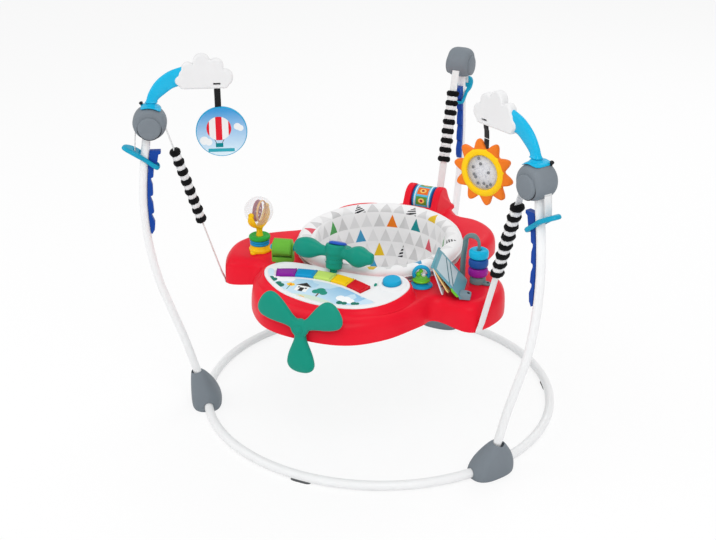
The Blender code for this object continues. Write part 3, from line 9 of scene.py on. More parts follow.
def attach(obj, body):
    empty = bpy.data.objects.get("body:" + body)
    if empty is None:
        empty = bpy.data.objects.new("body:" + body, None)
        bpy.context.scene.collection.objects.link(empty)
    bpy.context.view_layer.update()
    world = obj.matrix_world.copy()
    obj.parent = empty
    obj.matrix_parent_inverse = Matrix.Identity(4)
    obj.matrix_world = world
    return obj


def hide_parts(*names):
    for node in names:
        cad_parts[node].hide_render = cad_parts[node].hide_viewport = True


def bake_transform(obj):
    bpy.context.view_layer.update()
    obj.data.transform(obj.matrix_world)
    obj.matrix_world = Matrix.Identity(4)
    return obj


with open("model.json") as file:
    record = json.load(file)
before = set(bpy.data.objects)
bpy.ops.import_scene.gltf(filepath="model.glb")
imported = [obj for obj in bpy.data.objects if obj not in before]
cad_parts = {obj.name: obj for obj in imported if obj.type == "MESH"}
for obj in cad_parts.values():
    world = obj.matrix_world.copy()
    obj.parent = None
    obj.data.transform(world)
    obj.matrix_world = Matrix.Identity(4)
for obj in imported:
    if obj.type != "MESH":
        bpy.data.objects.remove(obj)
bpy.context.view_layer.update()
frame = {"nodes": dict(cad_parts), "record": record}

ringY = -0.08036                                    # middle of the floor ring along Y
sites = {"rear": 90, "left": 210, "right": 330}     # where the three posts stand, in degrees
nodes = frame["nodes"]


def operator(operation, swap=False):
    return lambda wire, other: wire.math(operation, other, swap=swap)


# A socket that takes part in sums. An expression on values adds its Math nodes.
class Wire:
    def __init__(self, tree, socket):
        self.tree = tree
        self.socket = socket

    def math(self, operation, other=None, third=None, swap=False):
        made = self.tree.nodes.new("ShaderNodeMath")
        made.operation = operation
        values = [self, other] if not swap else [other, self]
        for place, value in enumerate(values + [third]):
            if isinstance(value, Wire):
                self.tree.links.new(value.socket, made.inputs[place])
            elif value is not None:
                made.inputs[place].default_value = value
        return Wire(self.tree, made.outputs[0])

    __add__, __radd__ = operator("ADD"), operator("ADD", True)
    __sub__, __rsub__ = operator("SUBTRACT"), operator("SUBTRACT", True)
    __mul__, __rmul__ = operator("MULTIPLY"), operator("MULTIPLY", True)
    __truediv__, __rtruediv__ = operator("DIVIDE"), operator("DIVIDE", True)
    __pow__, __mod__ = operator("POWER"), operator("FLOORED_MODULO")
    __lt__, __gt__ = operator("LESS_THAN"), operator("GREATER_THAN")
    both, either = operator("MINIMUM"), operator("MAXIMUM")

    def __neg__(self):
        return self * -1

    def __abs__(self):
        return self.math("ABSOLUTE")

    def floor(self):
        return self.math("FLOOR")

    def sine(self):
        return self.math("SINE")

    def near(self, value, reach=0.5):
        return self.math("COMPARE", value, reach)


# A material in the making: node() adds any node, mix() blends colours, feed() links a wire into the shader.
class Finish:
    def __init__(self, name, colour, roughness=0.4, coat=0.0, sheen=0.0, alpha=1.0):
        self.material = bpy.data.materials.new(name)
        self.material.use_nodes = True
        self.tree = self.material.node_tree
        self.shader = self.tree.nodes["Principled BSDF"]
        settings = {"Base Color": (*colour, 1), "Roughness": roughness, "Coat Weight": coat,
                    "Coat Roughness": 0.12, "Specular IOR Level": 0.08, "Sheen Weight": sheen, "Alpha": alpha}
        for name, value in settings.items():
            self.shader.inputs[name].default_value = value
        self.material.diffuse_color = (*colour, alpha)
        self.where = None

    def node(self, kind, settings=None, output=0, **sockets):
        made = self.tree.nodes.new("ShaderNode" + kind)
        for key, value in (settings or {}).items():
            if key == "stops":
                ramp = made.color_ramp
                while len(ramp.elements) < len(value):
                    ramp.elements.new(0.5)
                for element, (at, tint) in zip(ramp.elements, value):
                    element.position = at
                    element.color = (*tint, 1)
            else:
                setattr(made, key, value)
        for key, value in sockets.items():
            socket = made.inputs[key.replace("_", " ")]
            if isinstance(value, Wire):
                self.tree.links.new(value.socket, socket)
            else:
                socket.default_value = value
        return Wire(self.tree, made.outputs[output])

    def place(self):
        if self.where is None:
            self.where = self.node("TexCoord", output=3)
        return self.where

    def split(self, vector=None):
        source = vector or self.place()
        made = self.tree.nodes.new("ShaderNodeSeparateXYZ")
        self.tree.links.new(source.socket, made.inputs[0])
        return [Wire(self.tree, socket) for socket in made.outputs]

    def join(self, x, y, z=0.0):
        return self.node("CombineXYZ", X=x, Y=y, Z=z)

    def uv(self, name):
        return self.split(self.node("UVMap", {"uv_map": name}))

    def noise(self, scale, detail=2.0, vector=None, rough=0.5):
        return self.node("TexNoise", Vector=vector or self.place(), Scale=scale, Detail=detail,
                         Roughness=rough)

    def mix(self, amount, low, high, blend="MIX"):
        made = self.tree.nodes.new("ShaderNodeMix")
        made.data_type = "RGBA"
        made.blend_type = blend
        for place, value in ((0, amount), (6, low), (7, high)):
            if isinstance(value, Wire):
                self.tree.links.new(value.socket, made.inputs[place])
            elif place == 0:
                made.inputs[place].default_value = value
            else:
                made.inputs[place].default_value = (*value, 1)
        return Wire(self.tree, made.outputs[2])

    def feed(self, name, wire):
        self.tree.links.new(wire.socket, self.shader.inputs[name])

    def bump(self, height, distance, strength=1.0):
        self.feed("Normal", self.node("Bump", Height=height, Distance=distance, Strength=strength))

    def printed(self, colour, wear, base, grit, depth):
        # a print under thin gloss, a little rubbed
        self.feed("Base Color", colour)
        self.feed("Roughness", self.noise(wear, 3.0) * 0.12 + base)
        self.bump(self.noise(grit, 1.0), depth)
        return self.material


def darker(colour, share):
    return tuple(value * share for value in colour)


def lighter(colour, share):
    return tuple(value + (1 - value) * share for value in colour)


# Moulded plastic: a fine spark-eroded grain, faint flow marks and a little rubbing on the gloss
plasticLook = {"grainScale": 1400.0, "grainDepth": 0.00005, "flowScale": 9.0, "flowShare": 0.10}


def plastic(name, colour, roughness=0.32, grain=1.0, coat=0.0, alpha=1.0):
    finish = Finish(name, colour, roughness, coat=coat * 0.4, alpha=alpha)
    flow = finish.noise(plasticLook["flowScale"], 3.0)
    tint = finish.mix(flow, darker(colour, 1 - plasticLook["flowShare"]), lighter(colour, 0.02))
    finish.feed("Base Color", tint)
    rub = finish.noise(38.0, 4.0)
    finish.feed("Roughness", rub * 0.12 + max(roughness - 0.06, 0.02))
    grit = finish.noise(plasticLook["grainScale"], 1.0)
    finish.bump(grit, plasticLook["grainDepth"] * grain)
    return finish.material


# Powder-coated steel: orange peel under a clear gloss
paintLook = {"colour": (0.90, 0.905, 0.91), "roughness": 0.3, "peelScale": 420.0, "peelDepth": 0.00006}


def paintedSteel():
    finish = Finish("white_paint", paintLook["colour"], paintLook["roughness"], coat=0.3)
    peel = finish.noise(paintLook["peelScale"], 2.0)
    tone = finish.noise(14.0, 3.0)
    finish.feed("Base Color", finish.mix(tone, darker(paintLook["colour"], 0.95), paintLook["colour"]))
    finish.feed("Roughness", tone * 0.10 + (paintLook["roughness"] - 0.05))
    finish.bump(peel, paintLook["peelDepth"])
    return finish.material


def webbing(name, colour, uvName="strip"):
    finish = Finish(name, colour, 0.82, sheen=0.25)
    u, v, _ = finish.uv(uvName)
    rib = (u / 0.0011 * pi).sine()
    slant = ((u + v * 0.9) / 0.0023 * pi).sine()
    weave = rib * 0.5 + slant * 0.35
    dirt = finish.noise(55.0, 3.0)
    # the weave's grooves are darkened in the colour as painted shade, and dirt darkens it at random
    weaveShadeAndDirt = weave * 0.10 + 0.86 + dirt * 0.08
    finish.feed("Base Color", finish.mix(1 - weaveShadeAndDirt, colour, darker(colour, 0.25)))
    finish.bump(weave, 0.00022)
    return finish.material


# A drawing on a flat face: masks in metres from the face's middle, laid over a ground colour
def spot(x, y, at, radius):
    across, up = x - at[0], y - at[1]
    return (across * across + up * up) < radius * radius


def patch(x, y, at, half):
    return (abs(x - at[0]) < half[0]).both(abs(y - at[1]) < half[1])


def layered(finish, ground, marks):
    colour = ground
    for mask, tint in marks:
        colour = finish.mix(mask, colour, tint)
    return colour


print("materials")
# name: colour, roughness, depth of the grain, coat, alpha
plastics = {
    "grey_plastic": ((0.205, 0.235, 0.265), 0.45, 2.0),
    "navy": ((0.002, 0.058, 0.36), 0.38, 1.5),
    "collar_cyan": ((0.0, 0.36, 0.56), 0.3, 1.0, 0.2),
    "arm_cyan": ((0.0, 0.50, 0.82), 0.2, 0.5, 0.4, 0.93),
    "cloud_white": ((0.84, 0.84, 0.845), 0.55, 2.5),
    "sun_orange": ((0.90, 0.20, 0.012), 0.4),
    "red": ((0.86, 0.0, 0.020), 0.36, 0.8, 0.06),
    "seat_ring": ((0.62, 0.62, 0.62), 0.45),
    "teal": ((0.0, 0.29, 0.205), 0.36),
    "panel_white": ((0.86, 0.87, 0.88), 0.34),
    "key_purple": ((0.26, 0.005, 0.34), 0.2, 1.0, 0.4),
    "key_blue": ((0.0, 0.33, 0.66), 0.2, 1.0, 0.4),
    "key_lime": ((0.58, 0.80, 0.16), 0.2, 1.0, 0.4),
    "key_yellow": ((1.0, 0.63, 0.0), 0.2, 1.0, 0.4),
    "key_red": ((0.70, 0.0, 0.012), 0.2, 1.0, 0.4),
    "button_blue": ((0.0, 0.38, 0.66), 0.25, 1.0, 0.2),
    "yellow": ((1.0, 0.60, 0.0), 0.3, 1.0, 0.2),
    "lime": ((0.16, 0.52, 0.045), 0.33),
    "toy_cyan": ((0.0, 0.37, 0.66), 0.2, 1.0, 0.4),
    "arch_grey": ((0.17, 0.27, 0.275), 0.38),
    "stack_purple": ((0.33, 0.005, 0.32), 0.3, 1.0, 0.2),
    "stack_navy": ((0.008, 0.085, 0.36), 0.3, 1.0, 0.2),
    "stack_cyan": ((0.0, 0.50, 0.80), 0.3, 1.0, 0.2),
    "clear": ((0.88, 0.90, 0.95), 0.05, 0.2, 1.0, 0.22),
    "spring_steel": ((0.42, 0.42, 0.44), 0.3),
    "rubber": ((0.10, 0.105, 0.11), 0.75, 3.0),
    "underside": ((0.15, 0.27, 0.26), 0.5),
    "dark": ((0.015, 0.015, 0.018), 0.4),
    "sun_yellow": ((1.0, 0.62, 0.0), 0.35, 1.0, 0.2),
    "ball_green": ((0.02, 0.42, 0.05), 0.35),
    "ball_blue": ((0.0, 0.30, 0.60), 0.35),
    "maroon": ((0.33, 0.004, 0.03), 0.35),
    "gold": ((0.80, 0.42, 0.07), 0.3, 1.0, 0.3),
    "deep_blue": ((0.01, 0.09, 0.50), 0.3),
    "bead_green": ((0.16, 0.62, 0.02), 0.3, 1.0, 0.3),
    "bead_white": ((0.84, 0.84, 0.84), 0.3),
    "clip_grey": ((0.20, 0.28, 0.33), 0.5),
}
looks = {name: plastic(name + "_look", *row) for name, row in plastics.items()}
looks["white_steel"] = paintedSteel()
looks["webbing"] = webbing("webbing_look", (0.90, 0.90, 0.90))
looks["black_webbing"] = webbing("black_webbing_look", (0.012, 0.012, 0.013))


def slotOf(node):
    return next(row["material_slot"] for row in frame["record"]["subparts"] if row["node"] == node)


def dress(node, material):
    holder = nodes[node]
    for slot in holder.material_slots:
        slot.material = material
    if not holder.material_slots:
        holder.data.materials.append(material)


for node in nodes:
    slotName = slotOf(node)
    if slotName in looks:
        dress(node, looks[slotName])


# Building helpers
def moveBy(x, y, z):
    return Matrix.Translation((x, y, z))


def turnBy(degrees, axis):
    return Matrix.Rotation(radians(degrees), 4, axis)


def fullTurn(count, place):
    # place(cosine, sine) at every step of a full turn
    turns = [2 * pi * k / count for k in range(count)]
    return [Vector(place(cos(turn), sin(turn))) for turn in turns]


def circleLine(radius, height, count):
    return fullTurn(count, lambda a, b: (radius * a, radius * b, height))


def globeRows(radius, steps):
    turns = [pi * k / steps - pi / 2 for k in range(steps + 1)]
    return [(radius * cos(turn), radius * sin(turn)) for turn in turns]


def bulged(value, power):
    # a cosine made squarer, its sign kept
    return abs(value) ** power * (1 if value >= 0 else -1)


def linked(name, data):
    made = bpy.data.objects.new(name, data)
    bpy.context.scene.collection.objects.link(made)
    return made


def smoothed(piece, look):
    piece.data.materials.clear()
    piece.data.materials.append(looks[look])
    piece.data.polygons.foreach_set("use_smooth", [True] * len(piece.data.polygons))


def addMesh(name, points, faces, look, smooth=True):
    mesh = bpy.data.meshes.new(name)
    mesh.from_pydata([tuple(point) for point in points], [], faces)
    mesh.materials.append(looks[look])
    mesh.polygons.foreach_set("use_smooth", [smooth] * len(faces))
    return linked(name, mesh)


def loft(name, rings, look, closed=False, caps=True, around=True):
    points = [point for ring in rings for point in ring]
    size = len(rings[0])
    faces = []
    rows = len(rings)
    for row in range(rows if closed else rows - 1):
        below = row * size
        above = (row + 1) % rows * size
        for i in range(size if around else size - 1):
            j = (i + 1) % size
            faces.append((below + i, below + j, above + j, above + i))
    if caps and not closed:
        faces.append(tuple(reversed(range(size))))
        faces.append(tuple(range((rows - 1) * size, rows * size)))
    return addMesh(name, points, faces, look)


def faceOut(piece):
    made = bmesh.new()
    made.from_mesh(piece.data)
    bmesh.ops.recalc_face_normals(made, faces=made.faces)
    made.to_mesh(piece.data)
    made.free()
    return piece


def smoothLine(points, steps):
    result = []
    count = len(points)
    for i in range(count - 1):
        a, b = Vector(points[max(i - 1, 0)]), Vector(points[i])
        c, d = Vector(points[i + 1]), Vector(points[min(i + 2, count - 1)])
        for k in range(steps):
            t = k / steps
            result.append(0.5 * (2 * b + (c - a) * t + (2 * a - 5 * b + 4 * c - d) * t * t
                                 + (3 * b - a - 3 * c + d) * t ** 3))
    result.append(Vector(points[-1]))
    return result


def bake(piece):
    # applies the modifiers, so that the shape is final
    bpy.context.view_layer.update()
    graph = bpy.context.evaluated_depsgraph_get()
    mesh = bpy.data.meshes.new_from_object(piece.evaluated_get(graph), depsgraph=graph)
    piece.modifiers.clear()
    piece.data = mesh
    return piece


def put(piece, body, slot, *hidden):
    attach(piece, body)
    if hidden:
        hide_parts(*hidden)
    return piece


def moved(piece, matrix):
    piece.data.transform(matrix)
    if matrix.determinant() < 0:
        piece.data.flip_normals()
    return piece


# A tube or bar along points, round or oval; side is the direction of its first half-width
def sweep(name, path, size, look, side=(0, 1, 0), sides=20, closed=False):
    rings = []
    count = len(path)
    for i, point in enumerate(path):
        before = path[i - 1] if i or closed else path[i]
        after = path[(i + 1) % count] if closed or i < count - 1 else path[i]
        along = (after - before).normalized()
        across = Vector(side[i] if isinstance(side, list) else side)
        up = along.cross(across).normalized()
        across = up.cross(along).normalized()
        wide, deep = size[i] if isinstance(size, list) else (size, size)
        rings.append(fullTurn(sides, lambda a, b: point + across * wide * a + up * deep * b))
    return faceOut(loft(name, rings, look, closed=closed))


# A profile of (radius, height) turned about Z; scallops vary the radius around
def lathe(name, profile, look, steps=56, closed=False, scallop=0.0, count=12):
    rings = []
    for radius, height in profile:
        ring = []
        for k in range(steps):
            turn = 2 * pi * k / steps
            reach = max(radius, 0.00002) * (1 + scallop * cos(count * turn))
            ring.append(Vector((reach * cos(turn), reach * sin(turn), height)))
        rings.append(ring)
    return faceOut(loft(name, rings, look, closed=closed))


# Corners of a line of (a, b) points rounded off
def rounded(points, radius, steps=4, closed=False):
    result = []
    count = len(points)
    for i, point in enumerate(points):
        here = Vector(point)
        if not closed and i in (0, count - 1):
            result.append(here)
            continue
        before, after = Vector(points[i - 1]), Vector(points[(i + 1) % count])
        back = before - here
        ahead = after - here
        start = here + back.normalized() * min(radius, back.length * 0.48)
        end = here + ahead.normalized() * min(radius, ahead.length * 0.48)
        for k in range(steps + 1):
            t = k / steps
            result.append(start * (1 - t) ** 2 + here * 2 * t * (1 - t) + end * t * t)
    return result


# A flat outline given thickness, its edges rolled over by a radius
def slab(name, outline, low, high, radius, look, steps=4, lift=None):
    points = [Vector(point) for point in outline]
    count = len(points)
    area = sum(points[i - 1].x * points[i].y - points[i].x * points[i - 1].y for i in range(count))
    inward = []
    for i in range(count):
        along = (points[(i + 1) % count] - points[i - 1]).normalized()
        inward.append(Vector((-along.y, along.x)) * (1 if area > 0 else -1))
    rows = [(radius + 0.0006, low)]
    for k in range(steps + 1):
        turn = pi / 2 * k / steps
        rows.append((radius * (1 - sin(turn)), low + radius * (1 - cos(turn))))
    for k in range(steps, -1, -1):
        turn = pi / 2 * k / steps
        rows.append((radius * (1 - sin(turn)), high - radius * (1 - cos(turn))))
    rows.append((radius + 0.0006, high))
    rings = []
    for inset, height in rows:
        ring = [point + side * inset for point, side in zip(points, inward)]
        rings.append([Vector((p.x, p.y, lift(p.x, p.y, height) if lift else height)) for p in ring])
    return faceOut(loft(name, rings, look))


# Shapes that run into each other, melted to one skin
def fuse(name, pieces, voxel, rounds, look):
    made = bmesh.new()
    for piece in pieces:
        made.from_mesh(piece.data)
        bpy.data.objects.remove(piece)
    mesh = bpy.data.meshes.new(name)
    made.to_mesh(mesh)
    made.free()
    piece = linked(name, mesh)
    remesh = piece.modifiers.new("skin", "REMESH")
    remesh.mode = "VOXEL"
    remesh.voxel_size = voxel
    relax = piece.modifiers.new("relax", "SMOOTH")
    relax.factor = 0.5
    relax.iterations = rounds
    bake(piece)
    smoothed(piece, look)
    return piece


def carve(piece, cutter):
    step = piece.modifiers.new("carve", "BOOLEAN")
    step.operation = "DIFFERENCE"
    step.solver = "EXACT"
    step.object = cutter
    bake(piece)
    bpy.data.objects.remove(cutter)
    return piece


def block(name, size, at, matrix=None):
    x, y, z = (value / 2 for value in size)
    corners = [Vector((a * x, b * y, c * z)) + Vector(at) for a in (-1, 1) for b in (-1, 1) for c in (-1, 1)]
    faces = [(0, 1, 3, 2), (4, 6, 7, 5), (0, 4, 5, 1), (2, 3, 7, 6), (0, 2, 6, 4), (1, 5, 7, 3)]
    piece = faceOut(addMesh(name, corners, faces, "dark", smooth=False))
    return moved(piece, matrix) if matrix else piece


def strip(piece, name, place):
    # cloth or print coordinates from a function of the point
    layer = piece.data.uv_layers.new(name=name)
    where = [place(vertex.co) for vertex in piece.data.vertices]
    for loop in piece.data.loops:
        layer.data[loop.index].uv = where[loop.vertex_index]
    return piece


# A turned piece with softened corners, in its place
def turned(name, rows, look, at, body, slot, *hidden, steps=56, soft=0.0012, fine=3, closed=False, **waves):
    piece = lathe(name, rounded(rows, soft, fine, closed), look, steps, closed, **waves)
    return put(moved(piece, at), body, slot, *hidden)


def siteFrame(site):
    return moveBy(0, ringY, 0) @ turnBy(sites[site], "Z")


upright = turnBy(90, "X")     # stands a drawing in XY up in XZ, facing -Y
endOn = Matrix(((0, 0, 1, 0), (1, 0, 0, 0), (0, 1, 0, 0), (0, 0, 0, 1)))    # stands it up in YZ


def atSite(piece, site):
    piece.data.transform(siteFrame(site))
    return piece


def sitePoint(site, reach, height, across=0.0):
    return siteFrame(site) @ Vector((reach, across, height))


# Webbing band along a line of (reach, height) points, with its own strip of cloth coordinates
def band(name, path, width, thickness, look, columns=6):
    rings = []
    lengths = []
    run = 0.0
    for i, point in enumerate(path):
        along = path[min(i + 1, len(path) - 1)] - path[max(i - 1, 0)]
        along.normalize()
        side = Vector((-along.y, along.x))
        if i:
            run += (point - path[i - 1]).length
        lengths.append(run)
        ring = []
        for face in (1, -1):
            for k in range(columns + 1):
                across = (k / columns - 0.5) * width * face
                edge = abs(across) / (width / 2)
                thin = thickness / 2 * (1 - 0.35 * edge ** 6)
                at = point + side * thin * face
                ring.append(Vector((at.x, across, at.y)))
        rings.append(ring)
    piece = loft(name, rings, look)
    layer = piece.data.uv_layers.new(name="strip")
    size = (columns + 1) * 2
    for polygon in piece.data.polygons:
        for loop in polygon.loop_indices:
            vertex = piece.data.loops[loop].vertex_index
            layer.data[loop].uv = (lengths[vertex // size], piece.data.vertices[vertex].co.y)
    return faceOut(piece)


# Straps: collar to hub, over the hub into the sleeve, and from the sleeve to the tray's hook
strapShape = {"width": 0.019, "thickness": 0.0016, "exit": 0.720, "split": 0.548, "sleeveTop": 0.6665,
              "sleeveFoot": 0.4875}
strapLean = 0.305      # reach gained per metre of height


def strapReach(height):
    return 0.3755 + strapLean * (height - 0.341)


hubLine = [(0.5590, 0.712), (0.5530, 0.733), (0.540, 0.747), (0.521, 0.7515), (0.503, 0.741)]
hubLine += [(strapReach(height), height) for height in (0.716, 0.690, 0.655)]
tailLine = [(0.5632, 0.6600), (0.5622, 0.680), (0.5605, 0.699), (0.5590, 0.712)]
hookLine = [
    (strapReach(0.499), 0.499), (strapReach(0.46), 0.46), (strapReach(0.42), 0.42),
    (strapReach(0.385), 0.385), (strapReach(0.355), 0.355), (0.3745, 0.343), (0.3724, 0.3345),
    (0.3721, 0.3317), (0.3704, 0.3309), (0.3675, 0.3311), (0.3635, 0.3326), (0.3615, 0.337), (0.361, 0.351),
]


def liftSpan(site):
    # the two ends of the run below the hub, from the strap's exit down to the split
    reach = strapReach(strapShape["sleeveTop"])
    return sitePoint(site, reach, strapShape["exit"]), sitePoint(site, reach, strapShape["split"])


def buildStraps(site):
    width, thick = strapShape["width"], strapShape["thickness"]
    over = atSite(band("strap_over_" + site, smoothLine(hubLine, 4), width, thick, "webbing"), site)
    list(liftSpan(site))
    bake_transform(over)
    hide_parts("strap_" + site)
    tail = atSite(band("strap_tail_" + site, smoothLine(tailLine, 4), width, thick, "webbing"), site)
    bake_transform(tail)
    lower = atSite(band("strap_lower_" + site, smoothLine(hookLine, 4), width, thick, "webbing"), site)
    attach(lower, "tray")


# Ruched sleeves: black and white puffs over the spring
sleeveShape = {"wide": 0.0166, "deep": 0.0120, "bands": 15, "black": 0.58, "topBands": 10, "around": 40,
               "perBand": 10}


def sleeveMaterial():
    finish = Finish("sleeve_look", (0.7, 0.7, 0.7), 0.88, sheen=0.06)
    _, v, _ = finish.uv("sleeve")
    dark = (v % 2.0) < 1.0
    fine = finish.noise(1600.0, 2.0)
    # the crease noise also darkens the black and the white where the folds sink: painted shade in the creases
    crease = finish.noise(120.0, 3.0)
    black = finish.mix(crease, (0.002, 0.002, 0.0025), (0.009, 0.009, 0.010))
    white = finish.mix(crease, (0.72, 0.72, 0.73), (0.86, 0.86, 0.86))
    finish.feed("Base Color", finish.mix(dark, white, black))
    finish.bump(fine * 0.3 + crease, 0.0006)
    return finish.material


looks["sleeve"] = sleeveMaterial()


def bandRun(place):
    # a black band takes more of the run than a white one
    pair = place // 2
    share = place - 2 * pair
    black = sleeveShape["black"]
    return pair + (black * share if share < 1 else black + (1 - black) * (share - 1))


def sleevePiece(name, first, last, top, foot):
    # a stretch of the sleeve from band first to band last, heights from top to foot
    shape = sleeveShape
    rows = (last - first) * shape["perBand"]
    rings = []
    bands = []
    for row in range(rows + 1):
        place = first + row / shape["perBand"]
        height = top + (foot - top) * (bandRun(place) - bandRun(first)) / (bandRun(last) - bandRun(first))
        share = place % 1.0
        dark = int(place) % 2 == 0
        if row == rows:
            share, dark = 1.0, (last - 1) % 2 == 0
        swell = sin(pi * share) ** 0.6
        size = 0.76 + 0.27 * swell if dark else 0.74 + 0.11 * swell
        lean = 0.0011 * swell * noise.noise(Vector((int(place) * 1.7, len(name) * 2.3, 0.5)))
        ring = []
        for i in range(shape["around"]):
            turn = 2 * pi * i / shape["around"]
            pleat = 1 + 0.035 * swell * sin(turn * 7 + place * 2.3) + 0.02 * sin(turn * 11 - place * 4.1)
            x = shape["deep"] * size * pleat * cos(turn)
            y = shape["wide"] * size * pleat * sin(turn)
            slip = 0.0012 * noise.noise(Vector((3 * cos(turn), 3 * sin(turn), place * 1.7)))
            ring.append(Vector((strapReach(height) + x, y + lean, height - strapLean * x + slip)))
        rings.append(ring)
        bands.append(place)
    piece = loft(name, rings, "sleeve")
    layer = piece.data.uv_layers.new(name="sleeve")
    for polygon in piece.data.polygons:
        corners = [piece.data.loops[loop].vertex_index // shape["around"] for loop in polygon.loop_indices]
        middle = sum(bands[min(row, rows)] for row in corners)
        level = int(middle / len(corners)) + 0.5
        for loop in polygon.loop_indices:
            layer.data[loop].uv = (0.0, level)
    return faceOut(piece)


def buildSleeve(site):
    shape = strapShape
    topBands = sleeveShape["topBands"]
    upper = atSite(sleevePiece("sleeve_upper_" + site, 0, topBands, shape["sleeveTop"], shape["split"]), site)
    start, middle = liftSpan(site)
    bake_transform(upper)
    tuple(start)
    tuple(middle)
    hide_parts("sleeve_" + site)
    lower = sleevePiece("sleeve_lower_" + site, topBands, sleeveShape["bands"],
                        shape["split"], shape["sleeveFoot"])
    lower = atSite(lower, site)
    foot = sitePoint(site, strapReach(shape["sleeveTop"]), shape["sleeveFoot"])
    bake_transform(lower)
    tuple(middle)


print("straps and sleeves")
for site in sites:
    buildStraps(site)
    buildSleeve(site)


# Painted steel: the floor ring, its rubber pads and the three bowed posts
steel = {"ring": 0.430, "ringTube": 0.011, "lift": 0.013, "post": 0.00975, "padSpan": 3.4, "padDepth": 0.0135}
postFoot = (0.4405, 0.046)
postHead = (0.5315, 0.716)
postBow = [
    (0.0, 0.0), (0.0925, 0.0091), (0.2, 0.0193), (0.3224, 0.0352), (0.4463, 0.0499), (0.5881, 0.0535),
    (0.7224, 0.0463), (0.8418, 0.0304), (0.9463, 0.0109), (1.0, 0.0),
]


def postLine(steps=8):
    foot, head = Vector(postFoot), Vector(postHead)
    return smoothLine([foot + (head - foot) * share + Vector((bow, 0)) for share, bow in postBow], steps)


def postReach(height):
    path = postLine()
    for below, above in zip(path, path[1:]):
        if below.y <= height <= above.y:
            return below.x + (above.x - below.x) * (height - below.y) / (above.y - below.y)
    return path[-1].x


def ringPoint(turn, height):
    return Vector((steel["ring"] * cos(turn), ringY + steel["ring"] * sin(turn), height))


def buildSteel():
    path = [ringPoint(2 * pi * i / 192, steel["lift"]) for i in range(192)]
    ring = sweep("floor_ring", path, steel["ringTube"], "white_steel", (0, 0, 1), 24, True)
    put(ring, "stand", "white_steel", "base_ring")
    for site, angle in sites.items():
        points = [Vector((point.x, 0, point.y)) for point in postLine()]
        post = atSite(sweep("bowed_post_" + site, points, steel["post"], "white_steel", sides=28), site)
        put(post, "stand", "white_steel", "post_" + site)
        path = []
        size = []
        for i in range(25):
            share = i / 12 - 1
            path.append(ringPoint(radians(angle + 180 + share * steel["padSpan"]), 0.0))
            size.append((steel["padDepth"] * (1 - share ** 4) ** 0.5 + 0.0004,
                         0.0085 * (1 - share ** 6) ** 0.5 + 0.0004))
        pad = sweep("floor_pad_" + site, path, size, "rubber", (0, 0, 1), 24)
        for vertex in pad.data.vertices:
            vertex.co.z = max(vertex.co.z, 0.0)
        put(pad, "stand", "grey_plastic")


# Feet: rounded cones that the ring runs through and the posts stand in
footShape = {"length": 0.112, "depth": 0.074, "height": 0.089, "square": 0.74, "reach": 0.432}
footRows = [
    (0.0, 0.965, 0.955), (0.03, 0.99, 0.985), (0.10, 1.0, 1.0), (0.25, 0.97, 0.975), (0.42, 0.88, 0.90),
    (0.58, 0.75, 0.80), (0.72, 0.60, 0.69), (0.84, 0.45, 0.58), (0.93, 0.33, 0.48), (0.98, 0.25, 0.40),
    (1.0, 0.19, 0.33),
]


def buildFoot(site):
    shape = footShape
    rings = []
    for row in smoothLine(footRows, 4):
        share, long, deep = row
        middle = shape["reach"] + (postReach(shape["height"]) - shape["reach"]) * share ** 1.6
        rings.append(fullTurn(64, lambda a, b: (
            middle + shape["depth"] / 2 * deep * bulged(a, shape["square"]),
            shape["length"] / 2 * long * bulged(b, shape["square"]), share * shape["height"])))
    foot = faceOut(loft("cone_foot_" + site, rings, "grey_plastic"))
    top = [Vector((postReach(z) + 0.004, 0, z)) for z in (0.074, 0.08, 0.086, 0.092, 0.1)]
    carve(foot, sweep("notch", top, 0.0125, "dark", sides=24))
    turns = [radians(-12 + k) for k in range(25)]
    arc = [Vector((steel["ring"] * cos(turn), steel["ring"] * sin(turn), steel["lift"])) for turn in turns]
    carve(foot, sweep("bore", arc, steel["ringTube"] + 0.0011, "dark", (0, 0, 1), 24))
    foot.data.set_sharp_from_angle(angle=radians(38))
    put(atSite(foot, site), "stand", "grey_plastic", "foot_" + site)


# Hubs: fat drums with a domed cap on either side
hubShape = {"reach": 0.525, "height": 0.733, "scale": 0.95, "capDrop": -0.007}
drumRows = [
    (0.0, -0.0305), (0.027, -0.0305), (0.0335, -0.028), (0.038, -0.0215), (0.0402, -0.012), (0.0405, 0.0),
]
capRows = [
    (0.0, 0.0370), (0.012, 0.0369), (0.021, 0.0362), (0.0255, 0.0348), (0.0272, 0.0322), (0.0275, 0.027),
]


def buildHub(site):
    small = hubShape["scale"]
    side = moveBy(hubShape["reach"], 0, hubShape["height"]) @ turnBy(90, "X") @ Matrix.Scale(small, 4)
    half = smoothLine(drumRows, 4)
    profile = half + [(point.x, -point.y) for point in half[-2::-1]]
    drum = moved(lathe("hub_drum_" + site, profile, "grey_plastic", 72), side)
    put(atSite(drum, site), "stand", "grey_plastic", "hub_" + site)
    for sign, word in ((1, "near"), (-1, "far")):
        down = moveBy(0, 0, hubShape["capDrop"])
        turn = down @ side @ Matrix.Rotation(0 if sign < 0 else pi, 4, "X")
        cap = moved(lathe("hub_cap_" + word + "_" + site, smoothLine(capRows, 3), "grey_plastic", 56), turn)
        put(atSite(cap, site), "stand", "grey_plastic")
        if site == "rear":
            continue
        # a near-black ring where the cap meets the drum: painted shade of the groove between them
        rim = circleLine(0.0287, 0.0295, 56)
        grooveShade = moved(sweep("hub_groove_shade_" + word + "_" + site, rim, 0.0009, "dark", (0, 0, 1), 8, True),
                       turn)
        put(atSite(grooveShade, site), "stand", "grey_plastic")


